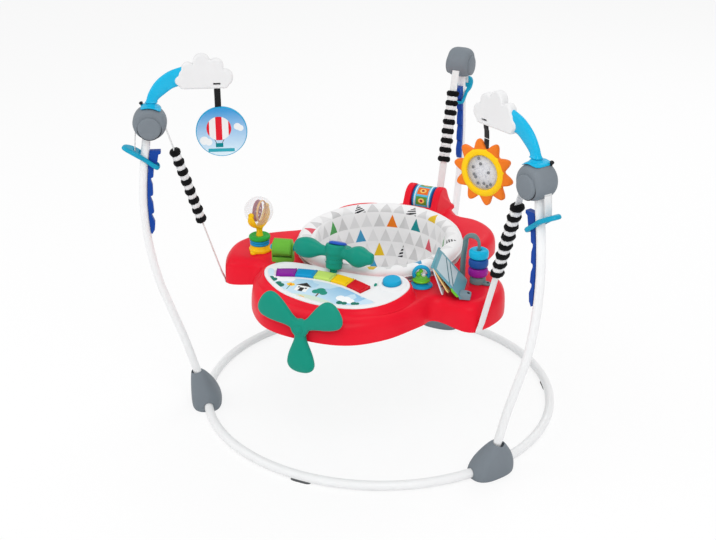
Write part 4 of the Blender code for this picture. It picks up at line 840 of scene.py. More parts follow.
# Toy arms: tapering horns of clear blue plastic on a saddle that hugs the hub
armOuter = [
    (0.005, 0.0465), (-0.001, 0.067), (-0.019, 0.094), (-0.047, 0.115), (-0.078, 0.126), (-0.092, 0.128),
]
armInner = [
    (-0.018, 0.0465), (-0.025, 0.055), (-0.038, 0.065), (-0.057, 0.078), (-0.078, 0.084), (-0.092, 0.086),
]
saddleShape = {"angle": 36, "half": 0.0245, "radius": 0.0389, "thick": 0.0032, "rise": 0.0085}


def buildArm(site):
    outer, inner = smoothLine(armOuter, 6), smoothLine(armInner, 6)
    rings = []
    for i, (far, near) in enumerate(zip(outer, inner)):
        middle, half = (far + near) / 2, (far - near) / 2
        flare = 0.0074 + 0.004 * max(0.0, 1 - i / 5) ** 2
        swell = 1 + 0.25 * max(0.0, 1 - i / 4) ** 2

        def place(a, b):
            at = middle + half * bulged(a, 0.8) * swell
            return hubShape["reach"] + at.x, flare * bulged(b, 0.75), hubShape["height"] + at.y

        rings.append(fullTurn(32, place))
    arm = atSite(faceOut(loft("toy_horn_" + site, rings, "arm_cyan")), site)
    put(arm, "stand", "arm_cyan", "toy_arm_" + site)
    shape = saddleShape
    size = 20
    layers = []
    for base in (0, 1):
        rows = []
        for i in range(size + 1):
            row = []
            for j in range(size + 1):
                u, v = 2 * i / size - 1, 2 * j / size - 1
                bulge = max(abs(u), abs(v)) or 1
                norm = (abs(u) ** 4 + abs(v) ** 4) ** 0.25 or 1
                u, v = u * bulge / norm, v * bulge / norm
                edge = max(0.0, 1 - (u * u + v * v) ** 2)
                dome = max(0.0, 1 - (u * u + v * v) * 2.1) ** 2
                lift = shape["thick"] * (0.25 + 0.75 * edge ** 0.35) + shape["rise"] * dome
                turn = radians(-8 + shape["angle"] * u)
                reach = shape["radius"] + (lift if base else 0.0)
                row.append(Vector((hubShape["reach"] + reach * sin(turn), shape["half"] * v,
                                   hubShape["height"] + reach * cos(turn))))
            rows.append(row)
        layers.append(rows)
    points = [p for rows in layers for row in rows for p in row]
    wide = size + 1
    faces = []
    for base in (0, wide * wide):
        for i in range(size):
            for j in range(size):
                a = base + i * wide + j
                faces.append((a, a + 1, a + wide + 1, a + wide))
    edge = [j for j in range(size)] + [i * wide + size for i in range(size)]
    edge += [size * wide + j for j in range(size, 0, -1)] + [i * wide for i in range(size, 0, -1)]
    for k, a in enumerate(edge):
        b = edge[(k + 1) % len(edge)]
        faces.append((a, b, b + wide * wide, a + wide * wide))
    saddle = atSite(faceOut(addMesh("horn_saddle_" + site, points, faces, "arm_cyan")), site)
    put(saddle, "stand", "arm_cyan")
    knob = [
        (0.0, 0.0085), (0.003, 0.0083), (0.0044, 0.007), (0.0046, 0.005), (0.0035, 0.003), (0.0032, -0.003),
    ]
    across = 0.0195 * -bandBack[site]
    tilt = moveBy(hubShape["reach"], across, hubShape["height"]) @ turnBy(25, "Y")
    piece = moved(lathe("horn_knob_" + site, knob, "dark", 24), tilt @ moveBy(0, 0, 0.0382))
    put(atSite(piece, site), "stand", "grey_plastic")


# Clouds: soft-edged plates with a slit for the band
cloudPuffs = [
    (-0.123, 0.1363, 0.019), (-0.154, 0.1263, 0.0175), (-0.1735, 0.1004, 0.0185), (-0.0923, 0.122, 0.0145),
    (-0.0733, 0.0955, 0.0115), (-0.0835, 0.1085, 0.0120), (-0.128, 0.105, 0.033), (-0.163, 0.0915, 0.0205),
    (-0.0875, 0.0905, 0.0185), (-0.125, 0.092, 0.032),
]
cloudShape = {"floor": 0.076, "middle": (-0.130, 0.103), "half": 0.010, "edge": 0.0045, "slotReach": 0.370,
              "slotHeight": 0.8205}


def cloudOutline(count=168):
    middle = Vector(cloudShape["middle"])
    points = []
    for i in range(count):
        ray = Vector((cos(2 * pi * i / count), sin(2 * pi * i / count)))
        reach = 0.0
        for across, height, radius in cloudPuffs:
            offset = Vector((across, height)) - middle
            along = offset.dot(ray)
            inside = radius ** 2 - (offset.length_squared - along ** 2)
            if inside > 0:
                reach = max(reach, along + inside ** 0.5)
        if ray.y < 0:
            reach = min(reach, (cloudShape["floor"] - middle.y) / ray.y)
        points.append(middle + ray * reach)
    soft = [(points[i - 1] + points[i] * 2 + points[(i + 1) % count]) / 4 for i in range(count)]
    return [Vector((hubShape["reach"] + p.x, hubShape["height"] + p.y)) for p in soft]


bandBack = {"left": 1, "right": -1}     # the side of the cloud that the band comes down on
hangLay = Matrix(((0, 1, 0, cloudShape["slotReach"]), (1, 0, 0, 0), (0, 0, 1, 0), (0, 0, 0, 1)))


def buildCloud(site):
    shape = cloudShape
    cloud = moved(slab("cloud_plate_" + site, cloudOutline(), -shape["half"], shape["half"], shape["edge"],
                       "cloud_white"), upright)
    carve(cloud, block("slit", (0.0165, 0.05, 0.0046), (shape["slotReach"], 0, shape["slotHeight"])))
    back = bandBack[site] * 0.0038
    floor = hubShape["height"] + shape["floor"]
    middle = (floor + shape["slotHeight"]) / 2 - 0.001
    carve(cloud, block("channel", (0.0160, 0.0034, shape["slotHeight"] - floor + 0.002),
                       (shape["slotReach"], back, middle)))
    cloud.data.set_sharp_from_angle(angle=radians(40))
    put(atSite(cloud, site), "stand", "cloud_white", "cloud_" + site)


# Black band from the slit, behind the cloud's lower lip, down to the toy
def buildHanger(site, name, top, sign):
    slit = cloudShape["slotHeight"]
    floor = hubShape["height"] + cloudShape["floor"]
    line = [
        (-0.0088 * sign, slit - 0.0006), (-0.0040 * sign, slit - 0.0002), (0.0006 * sign, slit - 0.0004),
        (0.0035 * sign, slit - 0.0032), (0.0038 * sign, slit - 0.0075), (0.0038 * sign, floor),
        (0.0030 * sign, floor - 0.008), (0.0012 * sign, (floor + top) / 2), (0.0, top - 0.0025),
    ]
    piece = band(name + "_band", smoothLine(line, 4), 0.0145, 0.0018, "black_webbing")
    put(atSite(faceOut(moved(piece, hangLay)), site), "stand", "black_webbing", name + "_strap")


def openSky(finish, y, low, high):
    # a plain sky, paler towards the bottom
    share = (y - low) / (high - low)
    return finish.mix(share, (0.70, 0.84, 0.92), (0.055, 0.34, 0.72))


def discLook():
    finish = Finish("disc_look", (0.3, 0.6, 0.85), 0.28, coat=0.25)
    x, y, _ = finish.uv("face")
    sky = openSky(finish, y, -0.055, 0.05)
    stripes = ((x + 0.0012) / 0.0145).floor() % 2.0
    basket = patch(x, y, (0.006, -0.0315), (0.0085, 0.0050))
    ropes = (abs(abs(x - 0.006) - (y + 0.030) * 0.45 - 0.005) < 0.0008).both(abs(y + 0.021) < 0.010)
    ball = spot(x, y, (0.006, 0.008), 0.0280)
    cloud = spot(x, y, (0.030, -0.024), 0.008).either(spot(x, y, (0.040, -0.020), 0.010))
    cloud = cloud.either(spot(x, y, (-0.036, 0.012), 0.008)).either(spot(x, y, (-0.043, 0.008), 0.007))
    lake = patch(x, y, (0.002, -0.0435), (0.0300, 0.0040))
    marks = [
        (lake, (0.03, 0.36, 0.45)), (cloud, (0.85, 0.87, 0.88)), (ropes, (0.05, 0.03, 0.02)),
        (basket, (0.0, 0.22, 0.25)), (ball, (0.74, 0.004, 0.02)), (ball.both(stripes), (0.86, 0.84, 0.84)),
    ]
    finish.feed("Base Color", layered(finish, sky, marks))
    grit = finish.noise(900.0, 2.0)
    finish.feed("Roughness", finish.noise(30.0, 3.0) * 0.14 + 0.2)
    finish.bump(grit, 0.00003)
    return finish.material


discShape = {"radius": 0.0585, "half": 0.0045, "height": 0.7065, "reach": 0.3645}


def buildDisc():
    looks["sky_disc"] = discLook()
    r, h = discShape["radius"], discShape["half"]
    profile = [
        (0.0, -h + 0.0005), (r - 0.004, -h + 0.0005), (r - 0.0032, -h), (r - 0.0014, -h + 0.0003),
        (r, -h + 0.0018),
    ]
    profile += [(radius, -height) for radius, height in reversed(profile)]
    disc = moved(lathe("picture_disc", profile, "sky_disc", 96), upright)
    strip(disc, "face", lambda point: (point.x, point.z))
    moved(disc, moveBy(discShape["reach"], 0, discShape["height"]))
    put(atSite(disc, "left"), "disc_pendant", "sky_disc", "hanging_disc")
    rim = [Vector((point.x, 0, point.y)) for point in circleLine(r - 0.0013, 0, 96)]
    edge = moved(sweep("disc_rim", rim, [(0.0050, 0.0014)] * 96, "button_blue", (0, 1, 0), 14, True),
                 moveBy(discShape["reach"], 0, discShape["height"]))
    put(atSite(edge, "left"), "disc_pendant", "sky_disc")


# Sun rattle: orange rays, a yellow ring and clear windows over speckled card and black beads
sunShape = {"radius": 0.0625, "ray": 0.0220, "rays": 10, "first": -11.0, "half": 0.0072, "height": 0.7045,
            "turn": -13.5, "scale": 0.865, "pivot": 0.7785}


def speckled():
    finish = Finish("speckle_look", (0.8, 0.8, 0.82), 0.6)
    dots = finish.noise(520.0, 2.0)
    finish.feed("Base Color", finish.mix(dots > 0.58, (0.80, 0.80, 0.83), (0.42, 0.43, 0.50)))
    finish.bump(dots, 0.00005)
    return finish.material


def buildSun():
    shape = sunShape
    frameAt = Matrix.Translation(sitePoint("right", cloudShape["slotReach"], shape["height"]))
    frameAt = frameAt @ turnBy(shape["turn"], "Z") @ moveBy(-0.0045, 0, 0) @ Matrix.Scale(shape["scale"], 4)
    outline = []
    for i in range(264):
        turn = 2 * pi * i / 264
        wave = (0.5 + 0.5 * cos(shape["rays"] * (turn - radians(shape["first"])))) ** 0.95
        reach = shape["radius"] - 0.0015 + shape["ray"] * wave
        outline.append((reach * sin(turn), reach * cos(turn)))
    rays = moved(slab("sun_rays", outline, -shape["half"], shape["half"], 0.0048, "sun_orange", 5),
                 frameAt @ upright)
    hole = lathe("hole", [(0.0, -0.03), (0.0436, -0.03), (0.0436, 0.03), (0.0, 0.03)], "dark", 72)
    carve(rays, moved(hole, frameAt @ upright))
    rays.data.set_sharp_from_angle(angle=radians(40))
    put(rays, "sun_pendant", "sun_orange", "hanging_sun")
    ringRows = rounded([(0.0432, -0.0085), (0.0472, -0.0106), (0.0545, -0.0100), (0.0608, -0.0064),
                        (0.0608, 0.0064), (0.0545, 0.0100), (0.0472, 0.0106), (0.0432, 0.0085)], 0.003, 3,
                       True)
    ring = moved(lathe("sun_ring", ringRows, "sun_yellow", 96, closed=True), frameAt @ upright)
    put(ring, "sun_pendant", "sun_orange")
    looks["speckle"] = speckled()
    card = moved(lathe("sun_card", [(0.0, -0.0006), (0.0430, -0.0006), (0.0430, 0.0006), (0.0, 0.0006)],
                       "speckle", 64), frameAt @ upright)
    put(card, "sun_pendant", "cloud_white")
    window = [
        (0.0, -0.0092), (0.020, -0.0088), (0.036, -0.0078), (0.0431, -0.0062), (0.0431, 0.0062),
        (0.036, 0.0078), (0.020, 0.0088), (0.0, 0.0092),
    ]
    glass = moved(lathe("sun_glass", window, "clear", 72), frameAt @ upright)
    put(glass, "sun_pendant", "clear", "sun_window")
    rim = shape["height"] + shape["radius"] * shape["scale"]
    heights = (shape["pivot"] - 0.0008, (shape["pivot"] + rim) / 2, rim - 0.003)
    loop = band("sun_loop", [Vector((0, z)) for z in heights], 0.0145, 0.0018, "black_webbing")
    put(atSite(faceOut(moved(loop, hangLay)), "right"), "sun_pendant", "black_webbing")
    beads = [
        (-0.014, 0.0325), (-0.008, 0.0196), (-0.0290, 0.0074), (0.0151, 0.0019), (-0.0253, -0.0104),
        (-0.0207, -0.0164), (-0.0130, -0.0308), (0.0035, -0.0281), (0.0130, -0.0335), (0.0228, -0.0267),
    ]
    bead = rounded([(0.0, -0.0013), (0.0039, -0.0013), (0.0039, 0.0013), (0.0, 0.0013)], 0.0009, 3)
    for face, word in ((-1, "near"), (1, "far")):
        for i, (x, z) in enumerate(beads):
            piece = lathe("sun_bead_" + word + "_" + str(i), bead, "dark", 20)
            put(moved(piece, frameAt @ moveBy(x, face * 0.0022, z) @ upright), "sun_pendant", "black_webbing")


# Collars: bent paddles that the strap ends hook into
collarShape = {"inner": -0.0412, "outer": 0.0560, "leaf": 0.0222, "waist": 0.0168, "half": 0.0052,
               "tilt": 38.5, "height": 0.6485}


def collarOutline():
    # a blunt loop round the post and the rack that widens to a leaf
    shape = collarShape
    outline = []
    for i in range(-13, 14):
        turn = radians(90 * i / 13)
        reach = shape["outer"] - 0.040 + 0.040 * cos(turn) ** 0.9
        outline.append((reach, shape["leaf"] * (1 if i > 0 else -1) * abs(sin(turn)) ** 0.85))
    for i in range(1, 8):
        share = i / 8
        soft = share * share * (3 - 2 * share)
        outline.append((0.0165 - 0.022 * share, shape["leaf"] + (shape["waist"] - shape["leaf"]) * soft))
    for i in range(-10, 11):
        turn = radians(9 * i)
        reach = shape["inner"] + 0.016 - 0.016 * cos(turn) ** 0.6
        outline.append((reach, -shape["waist"] * (1 if i > 0 else -1) * abs(sin(turn)) ** 0.7))
    for i in range(7, 0, -1):
        share = i / 8
        soft = share * share * (3 - 2 * share)
        outline.append((0.0165 - 0.022 * share, -shape["leaf"] - (shape["waist"] - shape["leaf"]) * soft))
    return outline


def buildCollar(site):
    shape = collarShape
    collar = slab("collar_paddle_" + site, collarOutline(), -shape["half"], shape["half"], 0.0042,
                  "collar_cyan", 5)
    tilt = radians(shape["tilt"])
    low, high = -0.0287 / cos(tilt), 0.0135 / cos(tilt) + 0.0020
    carve(collar, block("slot", (high - low, 0.0222, 0.05), ((low + high) / 2, 0, 0)))
    carve(collar, block("strap_gap", (0.0058, 0.0215, 0.05), (0.0292, 0, 0)))
    for vertex in collar.data.vertices:
        vertex.co.z -= 3.0 * max(0.0, vertex.co.x - 0.004) ** 2
    collar.data.set_sharp_from_angle(angle=radians(40))
    reach = postReach(shape["height"])
    moved(collar, moveBy(reach, 0, shape["height"]) @ Matrix.Rotation(-tilt, 4, "Y"))
    put(atSite(collar, site), "collar_" + site, "collar_cyan", "collar_" + site)


for site in sites:
    edge = nodes["rack_" + site].modifiers.new("edge", "BEVEL")
    edge.width = 0.0009
    edge.segments = 2
    edge.limit_method = "ANGLE"

print("stand, hubs and arms")
buildSteel()
for site in sites:
    buildFoot(site)
    buildHub(site)
    buildCollar(site)
    if site != "rear":
        buildArm(site)
        buildCloud(site)
buildDisc()
buildSun()
buildHanger("left", "disc", discShape["height"] + discShape["radius"], 1)
buildHanger("right", "sun", sunShape["pivot"] + 0.0036, -1)


# Coil springs inside the sleeves
coilShape = {"radius": 0.0106, "wire": 0.0008, "turns": 7, "foot": 0.4905, "top": 0.571, "steps": 18}


def buildSpring(site):
    shape = coilShape
    path = []
    total = shape["turns"] * shape["steps"]
    for i in range(total + 1):
        turn = 2 * pi * i / shape["steps"]
        height = shape["foot"] + (shape["top"] - shape["foot"]) * i / total
        path.append(Vector((strapReach(height) + shape["radius"] * cos(turn), shape["radius"] * sin(turn),
                            height)))
    coil = atSite(sweep("coil_" + site, path, shape["wire"], "spring_steel", (0, 0, 1), 8), site)
    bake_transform(coil)
    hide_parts("spring_" + site)


# Tray shell: (angle from the nose, reach, height of the skirt's edge), with softly rolled edges
trayRows = [
    (0, 0.408, 0.346), (14, 0.405, 0.347), (26, 0.373, 0.348), (35, 0.341, 0.350), (41, 0.322, 0.350),
    (46, 0.301, 0.347), (51, 0.309, 0.340), (55, 0.354, 0.334), (57.5, 0.3695, 0.333), (60, 0.371, 0.333),
    (62.5, 0.3712, 0.333), (66, 0.370, 0.333), (74, 0.361, 0.335), (82, 0.336, 0.338), (90, 0.295, 0.344),
    (99, 0.247, 0.348), (107, 0.233, 0.350), (117, 0.245, 0.350), (127, 0.280, 0.348), (136, 0.313, 0.346),
    (146, 0.327, 0.345), (155, 0.326, 0.345), (162, 0.313, 0.344), (169, 0.341, 0.338), (175, 0.366, 0.333),
    (180, 0.371, 0.333),
]
trayShape = {"top": 0.400, "roll": 0.026, "drop": 0.040, "wall": 0.003, "hole": 0.189, "steps": 300,
             "rows": 9}
deck = moveBy(0, ringY, 0)
noseHeight = 0.381      # the propeller's axle
toyFloor = 0.4003       # where the toys stand


def trayValue(angle, column):
    angle = abs((angle + 180.0) % 360.0 - 180.0)
    rows = trayRows
    last = len(rows) - 1
    i = 0
    while i < last - 1 and rows[i + 1][0] < angle:
        i += 1

    def slope(k):
        if k in (0, last):
            return 0.0
        return (rows[k + 1][column] - rows[k - 1][column]) / (rows[k + 1][0] - rows[k - 1][0])

    width = rows[i + 1][0] - rows[i][0]
    t = (angle - rows[i][0]) / width
    near = (2 * t ** 3 - 3 * t ** 2 + 1) * rows[i][column] + (t ** 3 - 2 * t ** 2 + t) * width * slope(i)
    return near + (3 * t ** 2 - 2 * t ** 3) * rows[i + 1][column] + (t ** 3 - t ** 2) * width * slope(i + 1)


def trayTurns():
    return [360.0 * i / trayShape["steps"] for i in range(trayShape["steps"])]


def trayEdge():
    edge = []
    for angle in trayTurns():
        reach = trayValue(angle, 1)
        edge.append(Vector((reach * sin(radians(angle)), -reach * cos(radians(angle)))))
    return edge


def trayLoop(edge, inset):
    # every ray from the middle is stopped where it comes within the inset of the edge
    loop = []
    for ray in [point.normalized() for point in edge]:
        reach = 1.0
        for point in edge:
            along = point.dot(ray)
            inside = inset * inset - (point.length_squared - along * along)
            if along > 0 and inside > 0:
                reach = min(reach, along - inside ** 0.5)
        loop.append(ray * reach)
    for _ in range(1 + int(inset * 300)):
        loop = [(loop[i - 1] + loop[i] * 2 + loop[(i + 1) % len(loop)]) / 4 for i in range(len(loop))]
    return loop


def buildTray():
    shape = trayShape
    edge = trayEdge()
    skirts = [trayValue(angle, 2) for angle in trayTurns()]
    roundLoop = [point.normalized() for point in edge]

    def level(loop, height):
        return [Vector((p.x, p.y, height)) for p in loop]

    rings = [[Vector((p.x, p.y, z)) for p, z in zip(edge, skirts)]]
    rings.append([Vector((p.x * 1.001, p.y * 1.001, z + 0.006)) for p, z in zip(edge, skirts)])
    for k in range(shape["rows"] + 1):
        turn = pi / 2 * k / shape["rows"]
        inset = shape["roll"] * (1 - cos(turn)) ** 1.15
        loop = trayLoop(edge, inset) if k else edge
        rings.append(level(loop, shape["top"] - shape["drop"] * (1 - sin(turn) ** 0.9)))
    lip = [point * (shape["hole"] + 0.004) for point in roundLoop]
    middle = [(a + b) / 2 for a, b in zip(loop, lip)]
    rings.append(level(middle, shape["top"]))
    rings.append(level(lip, shape["top"]))
    rings.append(level([point * shape["hole"] for point in roundLoop], shape["top"] - 0.002))
    under = shape["top"] - shape["wall"]
    rings.append(level([point * shape["hole"] for point in roundLoop], under))
    for k in range(shape["rows"], -1, -3):
        turn = pi / 2 * k / shape["rows"]
        inset = shape["roll"] * (1 - cos(turn)) ** 1.15 + shape["wall"]
        rings.append(level(trayLoop(edge, inset), under - shape["drop"] * (1 - sin(turn) ** 0.9)))
    rings.append([Vector((p.x, p.y, z)) for p, z in zip(trayLoop(edge, shape["wall"]), skirts)])
    shell = faceOut(loft("plane_tray", rings, "red", closed=True))
    bore = sweep("bore", [Vector((0, y, noseHeight)) for y in (-0.42, -0.38)], 0.0044, "dark", (1, 0, 0), 24)
    carve(shell, bore)
    well = block("well", (0.0586, 0.084, 0.06), (0, humpShape["middle"], humpShape["height"]))
    carve(shell, well)
    shell.data.set_sharp_from_angle(angle=radians(45))
    put(moved(shell, deck), "tray", "red", "tray_shell")
    rows = []
    for inset, height in ((0.0115, 0.360), (0.012, 0.3455), (0.0135, 0.3425), (0.017, 0.3415)):
        rows.append(level(trayLoop(edge, inset), height))
    for reach, height in ((0.1915, 0.3415), (0.1905, 0.3425), (0.1905, 0.360)):
        rows.append(level([point * reach for point in roundLoop], height))
    pan = faceOut(loft("tray_underside", rows, "underside", closed=True))
    pan.data.set_sharp_from_angle(angle=radians(45))
    put(moved(pan, deck), "tray", "red")


# Tail hump over the roller, and the roller with its printed band
humpShape = {"middle": 0.297, "height": 0.424, "reach": 0.0372, "half": 0.0475, "edge": 0.0015,
             "flare": 0.012}
rollerShape = {"radius": 0.035, "half": 0.029}


def buildHump():
    shape = humpShape
    top = trayShape["top"]
    line = [
        (shape["middle"] - 0.074, top - 0.0006), (shape["middle"] - 0.062, top + 0.0025),
        (shape["middle"] - 0.051, top + 0.010),
    ]
    for i in range(13):
        turn = radians(158 - 136 * i / 12)
        line.append((shape["middle"] + shape["reach"] * cos(turn),
                     shape["height"] + shape["reach"] * sin(turn)))
    line += [(shape["middle"] + 0.046, top + 0.010), (shape["middle"] + 0.053, top + 0.0015),
             (shape["middle"] + 0.056, top - 0.004)]
    outline = smoothLine(line, 3)
    outline += [(shape["middle"] + 0.056, top - 0.012), (shape["middle"] - 0.074, top - 0.012)]
    hump = moved(slab("hump", outline, -shape["half"], shape["half"], shape["edge"], "red", 2), endOn)
    for vertex in hump.data.vertices:
        low = max(0.0, min(1.0, (top + 0.016 - vertex.co.z) / 0.016))
        vertex.co.x *= 1 + shape["flare"] / shape["half"] * low ** 2
    level = rollerShape["radius"] + 0.0014
    gap = [Vector((-rollerShape["half"] - 0.0006, shape["middle"], shape["height"])),
           Vector((rollerShape["half"] + 0.0006, shape["middle"], shape["height"]))]
    carve(hump, sweep("well", gap, level, "dark", (0, 1, 0), 72))
    width = 2 * rollerShape["half"] + 0.0012
    carve(hump, block("mouth", (width, 0.2, 0.08), (0, shape["middle"], 0.4165 + 0.04)))
    hump = fuse("tail_hump", [hump], 0.0018, 10, "red")
    put(moved(hump, deck), "tray", "red")


def rollerLook():
    finish = Finish("roller_look", (0.2, 0.6, 0.8), 0.3, coat=0.3)
    x, y, z = finish.split()
    across = abs(x)
    angle = (y - (humpShape["middle"] + ringY)).math("ARCTAN2", z - humpShape["height"])
    turn = angle / (2 * pi) * 8.0 + 9.25
    cell = turn.floor()
    part = turn - cell - 0.5
    odd = (cell % 2.0) > 0.5
    ground = finish.mix(odd, (0.80, 0.16, 0.02), (0.10, 0.30, 0.04))
    circle = (x / 0.0085) * (x / 0.0085) + (part / 0.24) * (part / 0.24)
    bloom = circle < 1.0
    heart = circle < 0.22
    frameBand = (across > 0.0150).either(abs(part) > 0.40)
    marks = [
        (bloom, (0.88, 0.55, 0.14)), (heart, (0.42, 0.02, 0.03)), (frameBand, (0.10, 0.52, 0.74)),
        (across > 0.0178, (0.82, 0.86, 0.88)), (across > 0.0205, (0.02, 0.42, 0.68)),
        (across > 0.0235, (0.012, 0.07, 0.26)),
    ]
    return finish.printed(layered(finish, ground, marks), 40.0, 0.22, 1200.0, 0.00003)


def buildRoller():
    looks["roller"] = rollerLook()
    half, radius = rollerShape["half"] - 0.0004, rollerShape["radius"]
    rows = [
        (0.0, -half - 0.009), (0.004, -half - 0.009), (0.004, -half), (radius - 0.002, -half),
        (radius, -half + 0.002),
    ]
    rows += [(reach, -height) for reach, height in reversed(rows)]
    spin = moveBy(0, humpShape["middle"] + ringY, humpShape["height"]) @ turnBy(90, "Y")
    roller = moved(lathe("tail_drum", rows, "roller", 72), spin)
    roller.data.set_sharp_from_angle(angle=radians(40))
    put(roller, "tail_roller", "toy_cyan", "tail_roller")


# Puffy paddles: rows of (reach, half width, half depth) hanging along -Z
def paddle(name, rows, look, square=0.8, sides=32):
    rings = []
    for reach, wide, deep in smoothLine(rows, 4):
        wide, deep = max(wide, 0.0003), max(deep, 0.0003)
        rings.append(fullTurn(sides, lambda a, b: (
            wide * bulged(a, square), deep * bulged(b, square), -reach)))
    return faceOut(loft(name, rings, look))


bladeRows = [
    (-0.006, 0.0120, 0.0095), (0.014, 0.0122, 0.0098), (0.028, 0.0145, 0.0100), (0.042, 0.0200, 0.0104),
    (0.057, 0.0262, 0.0112), (0.072, 0.0308, 0.0120), (0.086, 0.0328, 0.0120), (0.096, 0.0300, 0.0106),
    (0.1025, 0.0235, 0.0084), (0.1062, 0.0150, 0.0056), (0.1078, 0.0050, 0.002),
]
propellerAt = Matrix.Translation((0, -0.4989, noseHeight))


def buildPropeller():
    pieces = [paddle("blade", bladeRows, "teal") for _ in range(3)]
    for i, blade in enumerate(pieces):
        moved(blade, turnBy(120 * i, "Y"))
    hub = rounded([(0.0, -0.0100), (0.0185, -0.0100), (0.0200, -0.006), (0.0200, 0.0075), (0.0165, 0.0105),
                   (0.0, 0.0110)], 0.003, 3)
    pieces.append(moved(lathe("hub", hub, "teal", 48), turnBy(90, "X")))
    screw = fuse("nose_propeller", pieces, 0.0021, 9, "teal")
    put(moved(screw, propellerAt), "propeller", "teal", "propeller")
    boss = [(0.0, 0.0128), (0.0075, 0.0126), (0.0098, 0.0112), (0.0100, 0.009), (0.0095, 0.004)]
    knob = moved(lathe("propeller_boss", boss, "teal", 40), propellerAt @ turnBy(90, "X"))
    put(knob, "propeller", "teal")
    axle = sweep("propeller_axle", [Vector((0, y, noseHeight)) for y in (-0.494, -0.468)], 0.004, "dark",
                 (1, 0, 0), 20)
    put(axle, "propeller", "teal")


# Steering wheel: two mitten lobes and a small one on a fat stem, with a blue cap on top
wheelShape = {"place": (-0.0175, -0.2989, 0.4260), "tilt": -12.0, "middle": 0.0452, "drop": 84.0}
lobeRows = [
    (-0.004, 0.0110, 0.0110), (0.020, 0.0112, 0.0108), (0.034, 0.0125, 0.0112), (0.046, 0.0175, 0.0150),
    (0.058, 0.0222, 0.0192), (0.071, 0.0236, 0.0208), (0.083, 0.0222, 0.0196), (0.093, 0.0178, 0.0160),
    (0.099, 0.0118, 0.0110), (0.102, 0.0040, 0.0040),
]
bluntRows = [
    (-0.004, 0.0110, 0.0110), (0.018, 0.0112, 0.0108), (0.030, 0.0130, 0.0115), (0.041, 0.0190, 0.0160),
    (0.052, 0.0235, 0.0200), (0.063, 0.0240, 0.0205), (0.073, 0.0200, 0.0175), (0.081, 0.0155, 0.0140),
    (0.088, 0.0135, 0.0120), (0.0925, 0.0112, 0.0098), (0.094, 0.0060, 0.0055),
]
smallRows = [
    (0.0, 0.0090, 0.0085), (0.030, 0.0100, 0.0090), (0.045, 0.0145, 0.0120), (0.058, 0.0165, 0.0132),
    (0.070, 0.0135, 0.0110), (0.077, 0.0075, 0.0060), (0.0795, 0.0020, 0.0020),
]


def buildWheel():
    shape = wheelShape
    stand = Matrix.Translation(shape["place"]) @ turnBy(shape["tilt"], "X")
    centre = moveBy(0, 0, shape["middle"])
    left = moved(paddle("lobe", lobeRows, "teal"), centre @ turnBy(90, "Y"))
    right = moved(paddle("lobe", bluntRows, "teal"), centre @ turnBy(-90, "Y"))
    down = moved(paddle("lobe", smallRows, "teal"), centre @ turnBy(shape["drop"], "X"))
    line = [
        (0.0, -0.006), (0.008, -0.006), (0.008, 0.0066), (0.0188, 0.0086), (0.0190, 0.018), (0.0190, 0.036),
        (0.0200, 0.0405), (0.0228, 0.0445), (0.0230, 0.0588), (0.0222, 0.0648), (0.0195, 0.0655),
        (0.0, 0.0655),
    ]
    stem = lathe("stem", rounded(line, 0.002, 3), "teal", 56)
    wheel = fuse("wheel_body", [left, right, down, stem], 0.0021, 7, "teal")
    put(moved(wheel, stand), "steering_wheel", "teal", "steering_wheel")
    for height, reach in ((0.0225, 0.01935), (0.0330, 0.01935)):
        hoop = circleLine(reach, height, 64)
        put(moved(sweep("stem_hoop_" + str(int(height * 10000)), hoop, 0.0011, "teal", (0, 0, 1), 10,
                        True), stand), "steering_wheel", "teal")
    turned("wheel_cap", [(0.0, 0.0), (0.0205, 0.0), (0.0208, 0.0035), (0.0165, 0.0062), (0.0, 0.0072)],
           "deep_blue", stand @ moveBy(0.003, 0.004, 0.0638) @ turnBy(-9, "X"), "steering_wheel", "teal",
           soft=0.0022)


print("tray, propeller and wheel")
for site in sites:
    buildSpring(site)
buildTray()
buildHump()
buildRoller()
buildPropeller()
buildWheel()


# Seat: a padded sling with printed triangles on its own swivel ring
seatLine = [
    (0.0, 0.2110), (0.035, 0.2112), (0.0680, 0.2145), (0.0940, 0.2245), (0.1130, 0.2400), (0.1290, 0.2620),
    (0.1420, 0.2900), (0.1500, 0.3200), (0.1540, 0.3520), (0.1562, 0.3850), (0.1588, 0.4080),
    (0.1640, 0.4230), (0.1730, 0.4305), (0.1850, 0.4300), (0.1945, 0.4245), (0.1982, 0.4150),
    (0.1955, 0.4062), (0.1850, 0.4044), (0.1748, 0.4042), (0.1722, 0.3850), (0.1705, 0.3450),
    (0.1610, 0.3050), (0.1510, 0.2790), (0.1370, 0.2520), (0.1200, 0.2300), (0.0980, 0.2130),
    (0.0700, 0.2030), (0.035, 0.1995), (0.0, 0.1990),
]
seatShape = {"around": 168, "steps": 3, "rise": 0.017, "pitch": 30, "row": 0.038, "base": 0.165,
             "crease": 0.0040, "quilt": 0.0019, "pipingReach": 0.1990, "pipingHeight": 0.4128}
seatCreases = [(0.3365, 0.0045, 1.0), (0.2790, 0.0045, 0.8), (0.3930, 0.0050, 0.35)]
legHole = {"turn": 48.0, "reach": 0.125, "height": 0.237, "radius": 0.050, "tilt": 128.0}
puffShape = {"voxel": 0.0052, "pressure": 4.0, "frames": 20, "cap": 0.0045}


